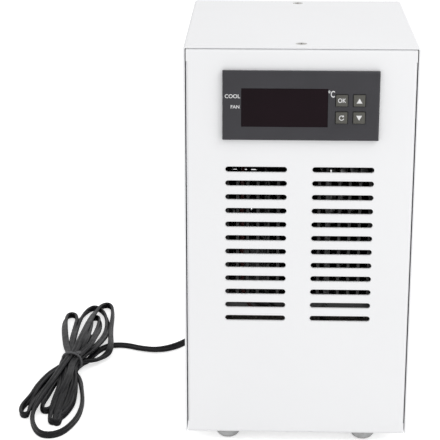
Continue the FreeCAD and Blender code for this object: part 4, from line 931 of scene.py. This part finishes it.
class CHILLER_OT_controller(bpy.types.Operator):
    """Controller front, window, key caps and their generic legends"""
    bl_idname = "chiller.controller"
    bl_label = "Controller"

    def execute(self, context):
        sizes = context.scene.chiller_sizes
        colours = context.scene.chiller_colours
        panel = moulded_plastic("controller_front", colours.panel, 0.4, 0.0006, 0.00003)
        front = softened("controller_bezel", "controller_front", "chiller", 0.00025, 2)
        give([front.name], panel)
        give(["display_window"], smoked_window(colours.window))
        give(["controller_housing", "controller_clips", "display_module"],
             moulded_plastic("housing_plastic", (0.03, 0.03, 0.032), 0.5))
        give(["main_board", "display_board"], circuit_board())
        give(["terminal_block"], moulded_plastic("terminal_green", (0.03, 0.20, 0.09), 0.45))
        give(["button_switches"], plated_metal("switch_shield", (0.55, 0.55, 0.54), 0.35))
        caps = moulded_plastic("key_cap", colours.keys, 0.5, 0.0005, 0.00002)
        ink = printed_ink(colours.legend)
        for key in ("set", "up", "reset", "down"):
            cap = softened(key + "_button", key + "_cap", key + "_button", sizes.key_softness, 3)
            give([cap.name], caps)
            plunger = moulded_plastic(key + "_plunger_plastic", (0.5, 0.5, 0.48), 0.4)
            give([key + "_plunger"], plunger)
            self.key_sign(key, ink)
        self.panel_words(sizes, ink)
        return {"FINISHED"}

    def key_sign(self, key, ink):
        """Sign printed on one key: OK, a turning arrow, or an arrowhead up or down."""
        low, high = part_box(key + "_button")
        centre = ((low.x + high.x) / 2, (low.z + high.z) / 2)
        word_height, word_narrow = 0.0021, 0.9
        half_width, half_height = 0.0014, 0.0012
        if key == "set":
            sign = word("set_sign", "OK", word_height, centre, low.y, word_narrow)
        elif key == "reset":
            sign = self.turning_arrow(centre, low.y)
        else:
            rise = half_height if key == "up" else -half_height
            corners = [(-half_width, -rise), (half_width, -rise), (0.0, rise)]
            sign = flat_shape(key + "_sign", corners, centre, low.y)
        give([sign.name], ink)
        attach(sign, key + "_button")

    def turning_arrow(self, centre, face):
        """Three quarters of a ring with an arrowhead, the sign for going back."""
        outer, inner = 0.00125, 0.00090
        start, sweep, steps = math.radians(60), math.radians(285), 24
        head_half_width, head_length = 0.0006, 0.0008
        rim = []
        for radius, order in ((outer, range(steps + 1)), (inner, range(steps, -1, -1))):
            for step in order:
                angle = start + sweep * step / steps
                rim.append((radius * math.cos(angle), radius * math.sin(angle)))
        ring = flat_shape("reset_ring", rim, centre, face)
        middle = (outer + inner) / 2
        base = Vector((middle * math.cos(start), middle * math.sin(start)))
        out = Vector((math.cos(start), math.sin(start))) * head_half_width
        ahead = Vector((math.sin(start), -math.cos(start))) * head_length
        head = flat_shape("reset_head", [tuple(base - out), tuple(base + ahead), tuple(base + out)],
                          centre, face)
        return joined("reset_sign", [ring, head])

    def panel_words(self, sizes, ink):
        """Words for the two lamps and the degree sign beside the window."""
        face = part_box("controller_bezel")[0].y
        height = sizes.legend_height
        degree_height, degree_narrow = 0.0032, 0.68
        words = joined("panel_words", [
            word("word_cool", "COOL", height * 0.9, COOL_PLACE, face),
            word("word_fan", "FAN", height * 0.8, FAN_PLACE, face),
            word("word_degree", "°C", degree_height, DEGREE_PLACE, face, degree_narrow),
        ])
        give([words.name], ink)
        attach(words, "chiller")


class CHILLER_OT_cooling(bpy.types.Operator):
    """Finishes of the fan, sink, module, block, foam, tails and leads"""
    bl_idname = "chiller.cooling"
    bl_label = "Cooling parts"

    def execute(self, context):
        black = moulded_plastic("fan_plastic", (0.022, 0.022, 0.023), 0.42)
        give(["fan_frame", "fan_rotor"], black)
        give(["fan_stator"], wound_copper())
        give(["fan_magnet"], moulded_plastic("magnet_ferrite", (0.05, 0.048, 0.046), 0.6, 0.0003))
        nickel = plated_metal("small_screw_nickel", (0.60, 0.59, 0.56), 0.3)
        give(["fan_screws", "standoff_screws", "lid_screws", "clamp_screws"], nickel)
        give(["standoffs"], plated_metal("standoff_zinc", (0.55, 0.56, 0.57), 0.36))
        give(["heat_sink"],
             drawn_aluminium("sink_black_anodised", (0.100, 0.099, 0.100), (1.0, 0.06, 1.0)))
        give(["water_block", "water_block_lid"],
             drawn_aluminium("block_aluminium", (0.62, 0.62, 0.63), (0.08, 1.0, 1.0)))
        give(["peltier_module"], ceramic_plate())
        give(["insulation_cradle", "insulation_frame"], foam_board((0.200, 0.180, 0.165)))
        give(["lid_gasket", "hose_tail_seals", "rear_grommets"],
             soft_rubber("seal_rubber", (0.018, 0.018, 0.019), 0.7))
        brass = plated_metal("tail_nickel_brass", (0.70, 0.66, 0.55), 0.25)
        give(["hose_tail_inlet", "hose_tail_outlet", "temperature_probe"], brass)
        give(["probe_lead"], lead_sheath("grey_lead", (0.10, 0.10, 0.102)))
        give(["fan_lead", "module_lead_black", "supply_lead"],
             lead_sheath("black_lead", (0.016, 0.016, 0.017)))
        give(["module_lead_red"], lead_sheath("red_lead", (0.034, 0.004, 0.003)))
        return {"FINISHED"}


class CHILLER_OT_stage(bpy.types.Operator):
    """Pale floor, even white surround and one soft lamp"""
    bl_idname = "chiller.stage"
    bl_label = "Stage"

    def execute(self, context):
        context.scene.view_settings.view_transform = "Standard"
        self.floor()
        self.surround(context)
        self.lamp()
        return {"FINISHED"}

    def floor(self):
        """Pale floor that takes the object's shadow, glowing a little for the camera alone."""
        signs = ((-1, -1), (1, -1), (1, 1), (-1, 1))
        corners = [(x * FLOOR_REACH, y * FLOOR_REACH, 0.0) for x, y in signs]
        floor = from_faces("floor", corners, [(0, 1, 2, 3)])
        material, tree, shader = new_finish("floor_white", (FLOOR_SEEN,) * 3, 0.9, specular=0.0)
        rays = tree.nodes.new("ShaderNodeLightPath")
        pick = tree.nodes.new("ShaderNodeMix")
        pick.data_type = "RGBA"
        pick.inputs["A"].default_value = (FLOOR_BOUNCE, FLOOR_BOUNCE, FLOOR_BOUNCE, 1.0)
        pick.inputs["B"].default_value = (FLOOR_SEEN, FLOOR_SEEN, FLOOR_SEEN, 1.0)
        tree.links.new(seen_ray(tree, rays), pick.inputs["Factor"])
        tree.links.new(pick.outputs["Result"], shader.inputs["Base Color"])
        glow = tree.nodes.new("ShaderNodeMath")
        glow.operation = "MULTIPLY"
        glow.inputs[1].default_value = FLOOR_GLOW
        tree.links.new(seen_ray(tree, rays), glow.inputs[0])
        shader.inputs["Emission Color"].default_value = WHITE
        tree.links.new(glow.outputs["Value"], shader.inputs["Emission Strength"])
        give([floor.name], material)

    def surround(self, context):
        """World that lights evenly and that the camera sees as white."""
        world = bpy.data.worlds.new("white_surround")
        world.use_nodes = True
        tree = world.node_tree
        lighting = tree.nodes["Background"]
        lighting.inputs["Color"].default_value = SURROUND_COLOUR
        lighting.inputs["Strength"].default_value = SURROUND_STRENGTH
        seen = tree.nodes.new("ShaderNodeBackground")
        seen.inputs["Color"].default_value = WHITE
        rays = tree.nodes.new("ShaderNodeLightPath")
        pick = tree.nodes.new("ShaderNodeMixShader")
        tree.links.new(seen_ray(tree, rays), pick.inputs["Fac"])
        tree.links.new(lighting.outputs["Background"], pick.inputs[1])
        tree.links.new(seen.outputs["Background"], pick.inputs[2])
        tree.links.new(pick.outputs["Shader"], tree.nodes["World Output"].inputs["Surface"])
        context.scene.world = world

    def lamp(self):
        data = bpy.data.lights.new("soft_lamp", "AREA")
        data.shape = "DISK"
        data.size = LAMP_SIZE
        data.energy = LAMP_POWER
        lamp = linked("soft_lamp", data)
        lamp.location = LAMP_PLACE
        aim = Vector(LAMP_TARGET) - Vector(LAMP_PLACE)
        lamp.rotation_euler = aim.to_track_quat("-Z", "Y").to_euler()


OPERATORS = (
    CHILLER_OT_camera,
    CHILLER_OT_power_cord,
    CHILLER_OT_cord_gland,
    CHILLER_OT_box,
    CHILLER_OT_controller,
    CHILLER_OT_cooling,
    CHILLER_OT_stage,
)


class CHILLER_PT_parts(bpy.types.Panel):
    """Sizes, colours and makers of the chiller's pieces"""
    bl_label = "Aquarium Chiller"
    bl_idname = "CHILLER_PT_parts"
    bl_space_type = "VIEW_3D"
    bl_region_type = "UI"
    bl_category = "Chiller"

    def draw(self, context):
        for group in (context.scene.chiller_sizes, context.scene.chiller_colours):
            column = self.layout.column(align=True)
            for name in group.__annotations__:
                column.prop(group, name)
        for operator in OPERATORS:
            self.layout.operator(operator.bl_idname)


CLASSES = (ChillerSizes, ChillerColours) + OPERATORS + (CHILLER_PT_parts,)


def register():
    for item in CLASSES:
        bpy.utils.register_class(item)
    bpy.types.Scene.chiller_sizes = bpy.props.PointerProperty(type=ChillerSizes)
    bpy.types.Scene.chiller_colours = bpy.props.PointerProperty(type=ChillerColours)


def unregister():
    del bpy.types.Scene.chiller_colours
    del bpy.types.Scene.chiller_sizes
    for item in reversed(CLASSES):
        bpy.utils.unregister_class(item)


def main():
    register()
    bpy.ops.chiller.camera()
    bpy.ops.chiller.power_cord()
    bpy.ops.chiller.cord_gland()
    bpy.ops.chiller.box()
    bpy.ops.chiller.controller()
    bpy.ops.chiller.cooling()
    bpy.ops.chiller.stage()


if __name__ == "__main__":
    main()
